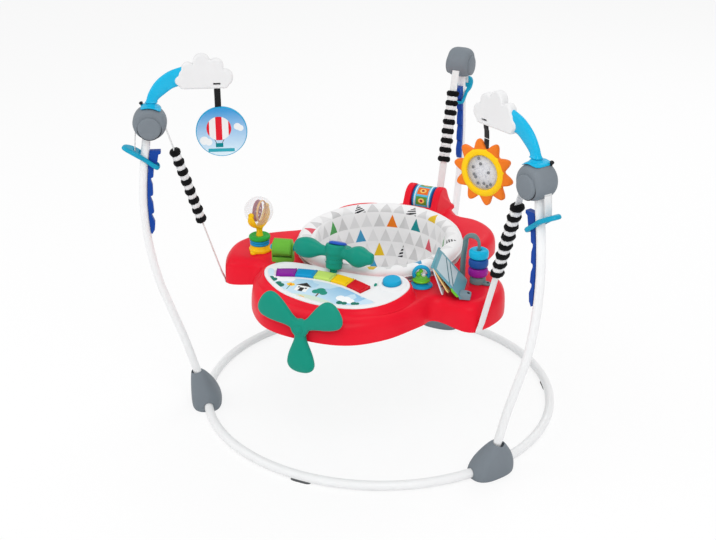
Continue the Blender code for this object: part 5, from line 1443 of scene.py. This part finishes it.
def seatLook():
    finish = Finish("seat_cloth_look", (0.9, 0.9, 0.9), 0.86, sheen=0.3)
    shape = seatShape
    x, y, z = finish.split()
    back = y - ringY
    reach = (x * x + back * back) ** 0.5
    column = x.math("ARCTAN2", -back) * (shape["pitch"] / (2 * pi)) + 60.0
    crown = (back / reach + 1) * 0.0085 + 0.4305
    outside = reach > 0.186
    inner = z + (reach - 0.160).math("MAXIMUM", 0.0) - (0.140 - reach).math("MAXIMUM", 0.0)
    climb = inner + outside * (crown - z) * 2 - shape["base"]
    level = climb / shape["row"]
    row = level.floor()
    rise = level - row
    shift = column + ((row % 2.0) - 1.0) * 0.5
    cell = shift.floor()
    across = abs(shift - cell - 0.5)
    triangle = ((across * 2 + rise * 1.02) < 0.93).both(rise > 0.045).both(reach < 0.186)
    spread = finish.node("TexWhiteNoise", Vector=finish.join(cell, row, 3.0))
    grey = finish.mix(spread, (0.60, 0.595, 0.60), (0.80, 0.795, 0.80))
    ground = finish.mix(finish.noise(22.0, 3.0), (0.82, 0.815, 0.82), (0.90, 0.895, 0.90))
    colour = finish.mix(triangle, ground, grey)
    stripes = ((rise * 4.6 + (shift - cell) * 1.3) % 1.0) < 0.58
    dark = finish.mix(stripes, (0.80, 0.80, 0.80), (0.03, 0.03, 0.035))
    tints = {"orange": (0.80, 0.19, 0.008), "teal": (0.0, 0.25, 0.27), "green": (0.07, 0.36, 0.09),
             "blue": (0.05, 0.30, 0.52), "yellow": (0.76, 0.50, 0.02), "red": (0.72, 0.08, 0.12)}
    prints = [
        ("orange", -14, 6), ("teal", 14, 6), ("green", -9, 6), ("blue", -11.5, 5), ("red", 12.5, 5),
        ("yellow", -13, 4), ("dark", -15, 4), ("blue", -12.5, 3), ("yellow", -15, 2), ("yellow", 12.5, 7),
        ("dark", -11.5, 7), ("dark", 14.5, 7), ("dark", 8.5, 7), ("green", 10, 6), ("orange", 7, 6),
        ("blue", 4.5, 7), ("yellow", 1.5, 7), ("teal", -3.5, 7), ("red", -6.5, 7), ("green", 0, 6),
        ("orange", 3, 4), ("teal", -5, 4), ("red", 6.5, 5),
    ]
    home = cell + 0.5 - ((row % 2.0) - 1.0) * 0.5 - 60.0
    for tint, place, stair in prints:
        chosen = (abs(home - float(place)) < 0.3).both(abs(row - float(stair)) < 0.3).both(triangle)
        colour = finish.mix(chosen, colour, dark if tint == "dark" else tints[tint])
    finish.feed("Base Color", colour)
    weave = ((column * 60.0).sine() + (z * 5200.0).sine()) * 0.25
    folds = finish.noise(26.0, 4.0)
    finish.bump(weave * 0.12 + folds, 0.0035, 0.55)
    return finish.material


def seatPoint(turn, reach, height):
    back = (1 - cos(turn)) / 2
    lift = seatShape["rise"] * back * max(0.0, min(1.0, (height - 0.40) / 0.02))
    return Vector((reach * sin(turn), -reach * cos(turn), height + lift))


def buildSeat():
    looks["seat_cloth"] = seatLook()
    shape = seatShape
    line = smoothLine(seatLine, shape["steps"])
    rings = []
    for reach, height in line:
        ring = []
        inner = len(rings) < len(line) * 0.55
        for k in range(shape["around"]):
            turn = 2 * pi * k / shape["around"]
            pull = sum(share * 2.718 ** -(((height - at) / span) ** 2) for at, span, share in seatCreases)
            soft = noise.noise(Vector((reach * 26 * sin(turn), reach * 26 * cos(turn), height * 26)))
            out = shape["crease"] * pull + shape["quilt"] * soft
            wide = reach + (out if inner and reach > 0.02 else 0.0)
            ring.append(seatPoint(turn, max(wide, 0.0002), height))
        rings.append(ring)
    pad = faceOut(loft("padded_seat", rings, "seat_cloth"))
    if puffShape["frames"]:
        puff(pad)
    for side in (-1, 1):
        hole = legHole
        turn = radians(side * hole["turn"])
        leg = lathe("leg", [(hole["radius"], -0.05), (hole["radius"], 0.05)], "dark", 48)
        place = moveBy(hole["reach"] * sin(turn), -hole["reach"] * cos(turn), hole["height"])
        carve(pad, moved(leg, place @ Matrix.Rotation(turn, 4, "Z") @ turnBy(hole["tilt"], "X")))
    pad.data.set_sharp_from_angle(angle=radians(55))
    put(moved(pad, deck), "seat", "seat_cloth", "seat_pad")
    path = [seatPoint(2 * pi * k / 144, shape["pipingReach"], shape["pipingHeight"]) for k in range(144)]
    piping = sweep("seat_piping_outer", path, 0.0016, "webbing", (0, 0, 1), 10, True)
    strip(piping, "strip", lambda point: (atan2(point.x, point.y) * 0.2, point.z))
    put(moved(piping, deck), "seat", "seat_cloth")


def puff(pad):
    # a short cloth run swells the pad between its seams, and no point may go far
    step = pad.modifiers.new("skin", "REMESH")
    step.mode = "VOXEL"
    step.voxel_size = puffShape["voxel"]
    bake(pad)
    kept = [vertex.co.copy() for vertex in pad.data.vertices]
    group = pad.vertex_groups.new(name="held")
    held = [i for i, point in enumerate(kept)
            if point.z < 0.206 or (hypot(point.x, point.y) > 0.1690 and 0.30 < point.z < 0.412)]
    group.add(held, 1.0, "REPLACE")
    cloth = pad.modifiers.new("cloth", "CLOTH")
    cloth.settings.use_pressure = True
    cloth.settings.uniform_pressure_force = puffShape["pressure"]
    cloth.settings.effector_weights.gravity = 0
    cloth.settings.vertex_group_mass = "held"
    scene = bpy.context.scene
    for number in range(1, puffShape["frames"] + 1):
        scene.frame_set(number)
    bake(pad)
    scene.frame_set(1)
    for vertex, home in zip(pad.data.vertices, kept):
        shift = vertex.co - home
        if shift.length > puffShape["cap"]:
            vertex.co = home + shift.normalized() * puffShape["cap"]
    smoothed(pad, "seat_cloth")


print("seat")
buildSeat()


# Music panel: white leaf with a picture, arc keys, button and switch, in a red bed
panelShape = {"front": -0.355, "frontTop": 0.411, "slope": 0.11, "floor": 0.4003, "crest": 0.420,
              "edge": 0.0035, "bed": 0.016}
panelPoints = [
    (-0.172, -0.244), (-0.164, -0.276), (-0.133, -0.308), (-0.080, -0.339), (0.000, -0.355),
    (0.080, -0.346), (0.128, -0.320), (0.160, -0.276), (0.170, -0.222), (0.150, -0.188), (0.119, -0.180),
    (0.085, -0.200), (0.000, -0.2085), (-0.085, -0.205), (-0.145, -0.214),
]
picturePoints = [
    (-0.163, -0.254), (-0.155, -0.275), (-0.128, -0.301), (-0.078, -0.330), (0.000, -0.3462),
    (0.060, -0.3410), (0.100, -0.3265), (0.1215, -0.3110), (0.1180, -0.3030), (0.088, -0.2935),
    (0.050, -0.2790), (0.015, -0.2700), (-0.026, -0.2668), (-0.067, -0.2700), (-0.105, -0.2790),
    (-0.135, -0.2790), (-0.148, -0.2560),
]
buttonAt = (0.128, -0.2215)
keyShape = {"radius": 0.265, "across": -0.026, "middle": -0.2445, "step": 9.9, "half": 0.0148,
            "low": -0.006, "high": 0.0052, "edge": 0.0026}


def panelTop(y):
    return panelShape["frontTop"] + panelShape["slope"] * (y - panelShape["front"])


def onPanel(x, y, above=0.0):
    return Vector((x, y + ringY, panelTop(y) + above))


def panelFrame(x, y):
    return Matrix.Translation(onPanel(x, y)) @ Matrix.Rotation(atan2(panelShape["slope"], 1.0), 4, "X")


def loopLine(points, steps):
    count = len(points)
    line = smoothLine([points[-1]] + list(points) + [points[0], points[1]], steps)
    return line[steps:steps * (count + 1)]


def pictureLook():
    finish = Finish("picture_look", (0.5, 0.7, 0.85), 0.25, coat=0.25)
    x, y, _ = finish.uv("face")
    sky = finish.mix((x + y * 2.0 + 0.72) * 3.2, (0.62, 0.78, 0.86), (0.13, 0.42, 0.74))
    haze = finish.noise(16.0, 2.0)
    sky = finish.mix(haze > 0.56, sky, (0.55, 0.73, 0.86))

    def puffs(spots):
        mask = None
        for px, py, size in spots:
            one = spot(x, y, (px, py), size)
            mask = one if mask is None else mask.either(one)
        return mask

    cloud = puffs([(-0.122, -0.287, 0.011), (-0.108, -0.283, 0.013), (-0.094, -0.281, 0.011),
                   (-0.134, -0.286, 0.007), (0.046, -0.315, 0.010), (0.059, -0.317, 0.012),
                   (0.072, -0.320, 0.009)])
    meadow = spot(x, y, (-0.020, -0.470), 0.142)
    bushes = puffs([(-0.139, -0.289, 0.0062), (-0.129, -0.294, 0.0075), (-0.112, -0.305, 0.0070),
                    (-0.103, -0.311, 0.0080), (0.052, -0.333, 0.0070), (0.063, -0.332, 0.0062),
                    (0.083, -0.326, 0.0064), (0.090, -0.324, 0.0050)])
    barn = patch(x, y, (-0.052, -0.308), (0.0145, 0.0115))
    roof = ((abs(x + 0.052) + (y + 0.297) * 1.25) < 0.0185).both(y > -0.2975)
    door = patch(x, y, (-0.052, -0.3120), (0.0052, 0.0078))
    door = door.either(patch(x, y, (-0.052, -0.2905), (0.0026, 0.0026)))
    stall = patch(x, y, (-0.0605, -0.3045), (0.0022, 0.0026))
    stall = stall.either(patch(x, y, (-0.0435, -0.3045), (0.0022, 0.0026)))
    crown = puffs([(-0.008, -0.303, 0.0115), (-0.017, -0.309, 0.0085), (0.002, -0.309, 0.0085)])
    trunk = patch(x, y, (-0.008, -0.320), (0.0018, 0.0075))
    petals = puffs([(-0.086, -0.297, 0.0036), (-0.0795, -0.2975, 0.0036), (-0.0865, -0.3035, 0.0036),
                    (-0.0795, -0.3035, 0.0036), (-0.0902, -0.3005, 0.0032), (-0.0762, -0.3005, 0.0032)])
    heart = puffs([(-0.083, -0.3005, 0.0030)])
    stem = patch(x, y, (-0.083, -0.3120), (0.0009, 0.0095))
    path = spot(x, y, (-0.040, -0.352), 0.0165)
    marks = [
        (cloud, (0.90, 0.91, 0.92)), (meadow, (0.62, 0.74, 0.62)), (stem, (0.02, 0.22, 0.04)),
        (petals, (0.95, 0.58, 0.02)), (heart, (0.80, 0.13, 0.01)), (barn, (0.88, 0.88, 0.87)),
        (roof, (0.05, 0.035, 0.035)), (door, (0.022, 0.016, 0.018)), (stall, (0.03, 0.03, 0.035)),
        (trunk, (0.16, 0.07, 0.02)), (crown, (0.01, 0.27, 0.19)), (path, (0.88, 0.50, 0.10)),
        (bushes, (0.005, 0.17, 0.12)),
    ]
    return finish.printed(layered(finish, sky, marks), 60.0, 0.2, 900.0, 0.00002)


def keyOutline(first, last, margin=0.0, steps=8):
    shape = keyShape
    points = []
    for radius, order in ((shape["radius"] + shape["half"] - margin, 1),
                          (shape["radius"] - shape["half"] + margin, -1)):
        for i in range(steps + 1)[::order]:
            turn = radians(first + (last - first) * i / steps)
            points.append((shape["across"] + radius * sin(turn),
                           shape["middle"] - shape["radius"] + radius * cos(turn)))
    return points


def buildPanel():
    shape = panelShape
    outline = loopLine(panelPoints, 8)

    def lift(x, y, height):
        return height - shape["crest"] + panelTop(y) if height > 0.41 else height

    panel = slab("music_leaf", outline, shape["floor"], shape["crest"], shape["edge"], "panel_white", 5, lift)
    span = keyShape["step"] * 2.5
    pocket = slab("pocket", keyOutline(-span - 0.15, span + 0.15, -0.0008, 30), 0.4135, 0.44, 0.0002,
                  "dark", 1, lambda x, y, h: h + shape["slope"] * (y + 0.24))
    carve(panel, pocket)
    for x, y, radius in ((*buttonAt, 0.0211), (wheelShape["place"][0], -0.2185, 0.0086)):
        carve(panel, sweep("well", [Vector((x, y, 0.412)), Vector((x, y, 0.45))], radius, "dark",
                           (1, 0, 0), 48))
    panel.data.set_sharp_from_angle(angle=radians(40))
    put(moved(panel, deck), "tray", "panel_white", "music_panel")
    looks["picture"] = pictureLook()
    picture = slab("panel_picture", loopLine(picturePoints, 6), 0.4196, 0.4204, 0.0003, "picture", 2,
                   lambda x, y, h: h - shape["crest"] + panelTop(y))
    strip(picture, "face", lambda point: (point.x, point.y))
    put(moved(picture, deck), "tray", "panel_white")
    brim = [Vector((p.x, p.y, panelTop(p.y) + 0.0003)) for p in loopLine(picturePoints, 6)]
    put(moved(sweep("picture_rim", brim, [(0.0011, 0.0009)] * len(brim), "panel_white", (0, 0, 1), 8,
                    True), deck), "tray", "panel_white")
    rings = []
    count = len(outline)
    for k in range(9):
        share = k / 8
        ring = []
        for i, point in enumerate(outline):
            along = (outline[(i + 1) % count] - outline[i - 1]).normalized()
            away = Vector((along.y, -along.x))
            out = point + away * (shape["bed"] * share + 0.0003)
            if out.length < 0.2005:
                out = out.normalized() * 0.2005
            crest = panelTop(point.y) - 0.0022
            ring.append(Vector((out.x, out.y, 0.3996 + (crest - 0.3996) * (0.5 + 0.5 * cos(pi * share)))))
        rings.append(ring)
    rings.append([Vector((p.x, p.y, 0.3985)) for p in rings[-1]])
    rings.append([Vector((p.x, p.y, 0.3985)) for p in rings[0]])
    bed = faceOut(loft("panel_bed", rings, "red", closed=True))
    put(moved(bed, deck), "tray", "red")
    for i in range(5):
        first = keyShape["step"] * (i - 2.5)
        outline = keyOutline(first + 0.10, first + keyShape["step"] - 0.10, 0.0, 10)
        word = ("purple", "blue", "lime", "yellow", "red")[i]
        key = slab("arc_key_" + word, outline, keyShape["low"], keyShape["high"], keyShape["edge"],
                   "key_" + word, 4, lambda x, y, h: h + panelTop(y) + 0.0012
                   * cos((y + 0.2445 + x * x * 1.6) * 90) * (1 if h > 0 else 0))
        put(moved(key, deck), "key_" + str(i + 1), "key_" + word, "key_" + str(i + 1))
    at = panelFrame(*buttonAt)
    turned("round_button", [(0.0, -0.005), (0.0203, -0.005), (0.0205, 0.0095), (0.0192, 0.0128),
                            (0.0150, 0.0133), (0.0, 0.0138)], "button_blue", at, "button", "button_blue",
           "button", soft=0.0018, fine=4, steps=64)
    turned("button_collar", [(0.0212, -0.002), (0.0214, 0.0040), (0.0255, 0.0044), (0.0300, 0.0028),
                             (0.0352, -0.001), (0.0352, -0.004), (0.0212, -0.004)], "panel_white", at,
           "tray", "panel_white", steps=72, closed=True)
    at = panelFrame(0.096, -0.2395)
    nub = [(0.0028 * cos(t), 0.0048 * sin(t)) for t in [2 * pi * k / 32 for k in range(32)]]
    put(moved(slab("switch_nub", nub, -0.003, 0.0038, 0.0012, "teal", 3), at), "switch", "teal",
        "slide_switch")


# Ball toy: yellow foot with ears, ribbed rings, a crescent fork and a clear ball
ballAt = Vector((-0.257, -0.128 + ringY, toyFloor))
ballShape = {"radius": 0.0345, "height": 0.1015, "fork": 0.0392}


def buildBallToy():
    at = ballAt
    base = Matrix.Translation(at)
    turned("ball_foot", [(0.0, 0.0), (0.0262, 0.0), (0.0262, 0.005), (0.0236, 0.0095), (0.0215, 0.0165),
                         (0.0, 0.0175)], "yellow", base, "tray", "yellow", "ball_stand", scallop=0.03,
           count=9)
    for k in range(3):
        turn = radians(25 + 120 * k)
        foot = Matrix.Translation(at + Vector((0.0285 * cos(turn), 0.0285 * sin(turn), 0)))
        turned("ball_ear_" + str(k), [(0.0, 0.0004), (0.0075, 0.0004), (0.0072, 0.0062), (0.0, 0.0070)],
               "yellow", foot, "tray", "yellow", soft=0.0015, steps=28)
    turned("ball_ring_blue", [(0.0, 0.0170), (0.0232, 0.0175), (0.0240, 0.0205), (0.0222, 0.0232),
                              (0.0240, 0.0258), (0.0234, 0.0295), (0.0, 0.0300)], "ball_blue", base,
           "tray", "yellow")
    turned("ball_ring_green", [(0.0, 0.0298), (0.0236, 0.0300), (0.0258, 0.0335), (0.0256, 0.0385),
                               (0.0215, 0.0412), (0.0150, 0.0398), (0.0, 0.0380)], "ball_green", base,
           "tray", "yellow")
    turned("ball_stem", [(0.0, 0.0370), (0.0088, 0.0375), (0.0070, 0.0460), (0.0074, 0.0560),
                         (0.0105, 0.0615), (0.0, 0.0640)], "yellow", base, "tray", "yellow")
    height, reach = ballShape["height"], ballShape["fork"]
    path, size = [], []
    for i in range(33):
        turn = pi * (i / 32)
        path.append(at + Vector((0, reach * cos(turn), height - reach * sin(turn))))
        size.append((0.0045 + 0.0062 * min(1.0, sin(turn) * 2.2) ** 0.7, 0.0029))
    put(sweep("ball_fork", path, size, "yellow", (1, 0, 0), 20), "tray", "yellow")
    for side in (-1, 1):
        boss = [at + Vector((0, side * (0.0349 + k * 0.0024), height)) for k in range(3)]
        put(sweep("fork_boss_" + ("back" if side > 0 else "front"), boss, 0.0066, "yellow", (1, 0, 0), 28),
            "tray", "yellow")
    centre = Matrix.Translation(at + Vector((0, 0, height)))
    half = globeRows(ballShape["radius"], 40)
    globe = moved(lathe("clear_ball", half, "clear", 64), centre @ turnBy(90, "X"))
    put(globe, "ball", "clear", "spinning_ball")
    face = centre @ turnBy(5, "Z") @ turnBy(90, "Y") @ moveBy(0, 0, -0.004)
    turned("ball_disc", [(0.0, -0.0020), (0.0255, -0.0018), (0.0268, 0.0), (0.0255, 0.0018),
                         (0.0, 0.0020)], "maroon", face, "ball", "clear", soft=0.001, steps=48)
    ring = [face @ point for point in circleLine(0.0252, 0.0110, 64)]
    side = [face.to_3x3() @ Vector((0, 0, 1))] * len(ring)
    put(sweep("ball_hoop", ring, [(0.0026, 0.0016)] * 64, "gold", side, 14, True), "ball", "clear")
    for k in range(7):
        turn = 2 * pi * k / 7
        bead = globeRows(0.0022, 8)
        spotAt = face @ moveBy(0.0115 * cos(turn), 0.0115 * sin(turn), 0.0024)
        put(moved(lathe("ball_dot_" + str(k), bead, "bead_white", 16), spotAt), "ball", "clear")


# Lime roller on a green foot
limeAt = moveBy(-0.163, -0.186 + ringY, toyFloor) @ turnBy(15, "Z")


def buildLimeToy():
    turned("lime_foot", [(0.0, 0.0), (0.0215, 0.0), (0.0212, 0.0048), (0.0165, 0.0078), (0.0130, 0.0130),
                         (0.0, 0.0135)], "lime", limeAt, "tray", "lime", "lime_stand", soft=0.0014,
           steps=48)
    cradle = [(-0.0090, 0.0120), (0.0090, 0.0120), (0.0092, 0.0245), (-0.0092, 0.0245)]
    put(moved(slab("lime_bridge", rounded(cradle, 0.002, 3, True), -0.0245, 0.0245, 0.0012, "lime", 3),
              limeAt @ endOn), "tray", "lime")
    for side in (-1, 1):
        cheek = rounded([(-0.0090, 0.0130), (0.0090, 0.0130), (0.0105, 0.0470), (0.0060, 0.0580),
                         (-0.0060, 0.0580), (-0.0105, 0.0470)], 0.004, 4, True)
        plate = slab("lime_cheek_" + ("left" if side < 0 else "right"), cheek, 0.0222, 0.0250, 0.0010,
                     "lime", 3)
        if side < 0:
            moved(plate, Matrix.Diagonal((1, 1, -1, 1)))
        put(moved(plate, limeAt @ endOn), "tray", "lime")
    half = 0.0216
    rows = [(0.0, -half), (0.0185, -half), (0.0205, -half + 0.0012)]
    for k in range(9):
        middle = -half + 0.003 + (2 * half - 0.006) * k / 8
        rows += [(0.0212, middle - 0.0014), (0.0193, middle + 0.0016)]
    rows += [(0.0205, half - 0.0012), (0.0185, half), (0.0, half)]
    axis = limeAt @ moveBy(0, 0, 0.047) @ turnBy(90, "Y")
    put(moved(lathe("lime_drum", rows, "lime", 48, scallop=0.018, count=16), axis), "lime_roller", "lime",
        "lime_roller")
    for side in (-1, 1):
        knob = rounded([(0.0, 0.0250), (0.0062, 0.0250), (0.0060, 0.0292), (0.0, 0.0300)], 0.0012, 3)
        piece = lathe("lime_knob_" + ("left" if side < 0 else "right"), knob, "button_blue", 28)
        if side < 0:
            moved(piece, turnBy(180, "X"))
        put(moved(piece, axis), "lime_roller", "lime")


# Bead toy: a flared foot, a green collar and a fat blue arch with beads on its bar
beadAt = moveBy(0.169, -0.150 + ringY, toyFloor) @ turnBy(24, "Z")


def buildBeadToy():
    turned("bead_foot", [(0.0, 0.0), (0.0262, 0.0), (0.0262, 0.0022), (0.0215, 0.0052), (0.0150, 0.0085),
                         (0.0135, 0.0120), (0.0, 0.0125)], "toy_cyan", beadAt, "tray", "toy_cyan",
           "bead_toy")
    turned("bead_collar", [(0.0, 0.0115), (0.0195, 0.0118), (0.0205, 0.0142), (0.0185, 0.0168),
                           (0.0, 0.0172)], "bead_green", beadAt, "tray", "toy_cyan", soft=0.001, steps=48)
    path = []
    for i in range(29):
        turn = radians(205 - 230 * i / 28)
        path.append(Vector((0.0172 * cos(turn), 0, 0.0285 + 0.0172 * sin(turn))))
    put(moved(sweep("bead_loop", path, [(0.0062, 0.0042)] * 29, "toy_cyan", (0, 1, 0), 20), beadAt),
        "tray", "toy_cyan")
    put(moved(sweep("bead_rod", [Vector((-0.0165, 0, 0.0262)), Vector((0.0165, 0, 0.0262))], 0.0015,
                    "toy_cyan", (0, 1, 0), 12), beadAt), "tray", "toy_cyan")
    beads = ((-0.0065, 0.0275, 0.0060, "bead_green"), (0.0052, 0.0258, 0.0048, "bead_white"),
             (-0.001, 0.0352, 0.0048, "bead_green"))
    for k, (x, z, size, look) in enumerate(beads):
        bead = globeRows(size, 14)
        put(moved(lathe("bead_" + str(k), bead, look, 24), beadAt @ moveBy(x, 0, z)), "tray", "toy_cyan")


# Stacking rings on a flat grey arch
stackAt = moveBy(0.279, -0.081 + ringY, toyFloor) @ turnBy(-10, "Z")


def buildStack():
    turned("stack_foot", [(0.0, 0.0), (0.0185, 0.0), (0.0182, 0.0080), (0.0172, 0.0160), (0.0, 0.0168)],
           "arch_grey", stackAt, "tray", "arch_grey", "stack_arch", soft=0.0015)
    bend = 0.0168
    rise = 0.110 - bend
    path = [Vector((-0.040, 0, 0.001)), Vector((-0.040, 0, 0.030)), Vector((-0.0385, 0, 0.060)),
            Vector((-0.0355, 0, rise - 0.010))]
    for i in range(13):
        turn = pi - pi * i / 12
        path.append(Vector((-0.0175 + 0.0175 * cos(turn), 0, rise + bend * sin(turn))))
    path.append(Vector((0, 0, 0.080)))
    path.append(Vector((0, 0, 0.010)))
    line = smoothLine(path, 4)
    shares = [max(0.0, min(1.0, (-point.x - 0.002) / 0.012)) for point in line]
    size = [(0.0036 + 0.0052 * share, 0.0036 + 0.0018 * share) for share in shares]
    put(moved(sweep("stack_bow", line, size, "arch_grey", (0, 1, 0), 20), stackAt), "tray", "arch_grey")
    tab = [
        (0.0, -0.0095), (0.026, -0.0085), (0.0325, -0.0040), (0.0325, 0.0040), (0.026, 0.0085),
        (0.0, 0.0095),
    ]
    put(moved(slab("stack_tab", rounded(tab, 0.002, 3, True), 0.0002, 0.0052, 0.0012, "arch_grey", 3),
              stackAt), "tray", "arch_grey")
    turned("stack_screw", [(0.0, 0.0050), (0.0030, 0.0050), (0.0026, 0.0066), (0.0, 0.0070)], "dark",
           stackAt @ moveBy(0.0265, 0, 0), "tray", "arch_grey", soft=0.0006, fine=2, steps=20)
    for i, look in enumerate(("stack_purple", "stack_navy", "stack_cyan")):
        half = 0.01045
        crown = 0.0185 if i < 2 else 0.0165
        rows = [
            (0.0048, -half), (0.0185, -half), (0.0222, -half + 0.0035), (0.0226, 0.0),
            (0.0222, half - 0.0040), (crown, half), (0.0085, half - 0.0012), (0.0048, half - 0.0030),
        ]
        disc = lathe("stack_ring_" + str(i + 1), rounded(rows, 0.0026, 4, True), look, 64, closed=True)
        height = 0.0281 + i * 0.02175
        node = "stack_disc_" + str(i + 1)
        put(moved(disc, stackAt @ moveBy(0, 0, height)), node, slotOf(node), node)


# Book: three stiff leaves on one spine, with drawings on the pages
bookAt = moveBy(0.203, -0.152 + ringY, 0.475) @ turnBy(13, "Z")
coverLean = 42.6
leaves = (("page_front", 20.0, 0.071, "page_front"), ("page_middle", 31.5, 0.071, "page_middle"),
          ("book_cover", coverLean, 0.098, "tray"))


def leafLook(name, frameTint, ground, marks):
    finish = Finish(name, ground, 0.3, coat=0.2)
    u, v, _ = finish.uv("face")
    inner = (abs(u) < 0.0425).both(abs(v + 0.0385) < 0.0275)
    colour = finish.mix(inner, frameTint, ground)
    for kind, tint in marks:
        if kind == "boat":
            hull = (abs(u + v * 0.2) < 0.024).both(abs(v + 0.048) < 0.0055)
            sail = (abs(u) + (v + 0.045) * 0.9 < 0.016).both(v > -0.044)
            mask = hull.either(sail)
        elif kind == "stripe":
            mask = (abs(v + 0.040 - u * 0.35) < 0.0018).either(abs(v + 0.053 - u * 0.35) < 0.0018)
        elif kind == "wave":
            mask = abs(v + 0.056 + (u * 180.0).sine() * 0.0022) < 0.0022
        else:
            mask = spot(u, v, (0.012, -0.030), 0.0095)
        colour = finish.mix(mask.both(inner), colour, tint)
    return finish.printed(colour, 45.0, 0.24, 1000.0, 0.00003)


def buildBook():
    looks["page_white"] = leafLook("page_a_look", (0.66, 0.76, 0.84), (0.84, 0.86, 0.88),
        [("boat", (0.62, 0.01, 0.03)), ("wave", (0.03, 0.32, 0.55))])
    looks["page_orange"] = leafLook("page_b_look", (0.90, 0.60, 0.24), (0.80, 0.26, 0.03),
        [("spot", (0.86, 0.62, 0.10)), ("wave", (0.30, 0.02, 0.03))])
    looks["cover_teal"] = leafLook("cover_look", (0.13, 0.36, 0.43), (0.52, 0.62, 0.66),
        [("stripe", (0.05, 0.16, 0.19))])
    for name, angle, reach, body in leaves:
        slot = slotOf(name)
        outline = rounded([(-0.0515, -0.0015), (0.0515, -0.0015), (0.0520, -reach), (-0.0520, -reach)],
                          0.0075, 4, True)
        leaf = slab("leaf_" + name, outline, -0.00135, 0.00135, 0.0009, slot, 3)
        strip(leaf, "face", lambda point: (point.x, point.y))
        put(moved(leaf, bookAt @ turnBy(-angle, "Y") @ endOn), body, slot, name)
    spine = sweep("book_spine", [Vector((0, y, 0)) for y in (-0.0525, -0.0522, 0.0522, 0.0525)],
                  [(0.0026, 0.0026), (0.0034, 0.0034), (0.0034, 0.0034), (0.0026, 0.0026)], "cover_teal",
                  (1, 0, 0), 16)
    strip(spine, "face", lambda point: (0.1, 0.1))
    put(moved(spine, bookAt), "tray", "cover_teal")
    cover = bookAt @ turnBy(-coverLean, "Y")
    tab = rounded([(-0.0500, -0.062), (-0.0610, -0.066), (-0.0610, -0.086), (-0.0500, -0.090)], 0.005, 4,
                  True)
    put(moved(slab("book_tab", tab, -0.0010, 0.0010, 0.0006, "bead_green", 2), cover @ endOn), "tray",
        "cover_teal")
    clip = rounded([(-0.012, 0.0), (0.013, 0.0), (0.013, 0.0105), (0.002, 0.0140), (-0.012, 0.0140)],
                   0.003, 4, True)
    place = bookAt @ moveBy(0.0722, -0.036, -0.0744)
    piece = moved(slab("book_clip", clip, -0.0125, 0.0125, 0.0018, "clip_grey", 3),
                  Matrix(((1, 0, 0, 0), (0, 0, 1, 0), (0, 1, 0, 0), (0, 0, 0, 1))))
    put(moved(piece, place), "tray", "cover_teal")
    turned("clip_screw", [(0.0, 0.0), (0.0034, 0.0), (0.0030, 0.0014), (0.0, 0.0018)], "dark",
           place @ moveBy(0.0075, 0, 0.0122) @ turnBy(17, "Y"), "tray", "cover_teal", soft=0.0006, fine=2,
           steps=20)


print("panel and toys")
buildPanel()
buildBallToy()
buildLimeToy()
buildBeadToy()
buildStack()
buildBook()


# Stage, light and camera
cameraView = {"place": (1.0982, -2.5810, 1.5851), "look": (-0.048, -0.10036, 0.343), "lens": 62.14}


def buildStage():
    finish = Finish("studio_floor", (0.95, 0.95, 0.955), 0.7)
    mesh = bpy.data.meshes.new("studio_floor")
    half = 9.0
    mesh.from_pydata([(-half, -half, 0), (half, -half, 0), (half, half, 0), (-half, half, 0)], [],
                     [(0, 1, 2, 3)])
    mesh.materials.append(finish.material)
    floor = linked("studio_floor", mesh)
    seen = finish.node("LightPath", output=0).either(finish.node("LightPath", output=3))
    seen = seen.either(finish.node("LightPath", output=6))
    white = finish.node("Emission", Color=(1, 1, 1, 1), Strength=1.0)
    blend = finish.tree.nodes.new("ShaderNodeMixShader")
    output = finish.tree.nodes["Material Output"]
    finish.tree.links.new((seen * 0.80).socket, blend.inputs[0])
    finish.tree.links.new(finish.shader.outputs[0], blend.inputs[1])
    finish.tree.links.new(white.socket, blend.inputs[2])
    finish.tree.links.new(blend.outputs[0], output.inputs["Surface"])


def aimed(name, data, place, target):
    holder = linked(name, data)
    holder.location = place
    holder.rotation_euler = (Vector(target) - Vector(place)).to_track_quat("-Z", "Y").to_euler()
    return holder


def buildLight():
    world = bpy.data.worlds.new("studio")
    bpy.context.scene.world = world
    world.use_nodes = True
    tree = world.node_tree
    soft = tree.nodes["Background"]
    soft.inputs["Color"].default_value = (1, 1, 1, 1)
    soft.inputs["Strength"].default_value = 0.66
    white = tree.nodes.new("ShaderNodeBackground")
    white.inputs["Strength"].default_value = 1.0
    white.inputs["Color"].default_value = (1, 1, 1, 1)
    path = tree.nodes.new("ShaderNodeLightPath")
    blend = tree.nodes.new("ShaderNodeMixShader")
    tree.links.new(path.outputs["Is Camera Ray"], blend.inputs[0])
    tree.links.new(soft.outputs[0], blend.inputs[1])
    tree.links.new(white.outputs[0], blend.inputs[2])
    tree.links.new(blend.outputs[0], tree.nodes["World Output"].inputs["Surface"])
    lamps = (
        ("key_lamp", (1.6, -2.6, 3.4), 2.4, 62.0),
        ("fill_lamp", (-2.8, -1.6, 2.4), 2.6, 26.0),
        ("back_lamp", (0.4, 2.8, 3.0), 2.4, 30.0),
    )
    for name, place, size, power in lamps:
        lamp = bpy.data.lights.new(name, "AREA")
        lamp.size = size
        lamp.energy = power
        aimed(name, lamp, place, (0, 0, 0.3))


def buildCamera():
    camera = bpy.data.cameras.new("photo_camera")
    camera.lens = cameraView["lens"]
    camera.sensor_width = 36.0
    bpy.context.scene.camera = aimed("photo_camera", camera, cameraView["place"], cameraView["look"])


print("stage")
buildStage()
buildLight()
buildCamera()
bpy.context.scene.view_settings.view_transform = "Standard"
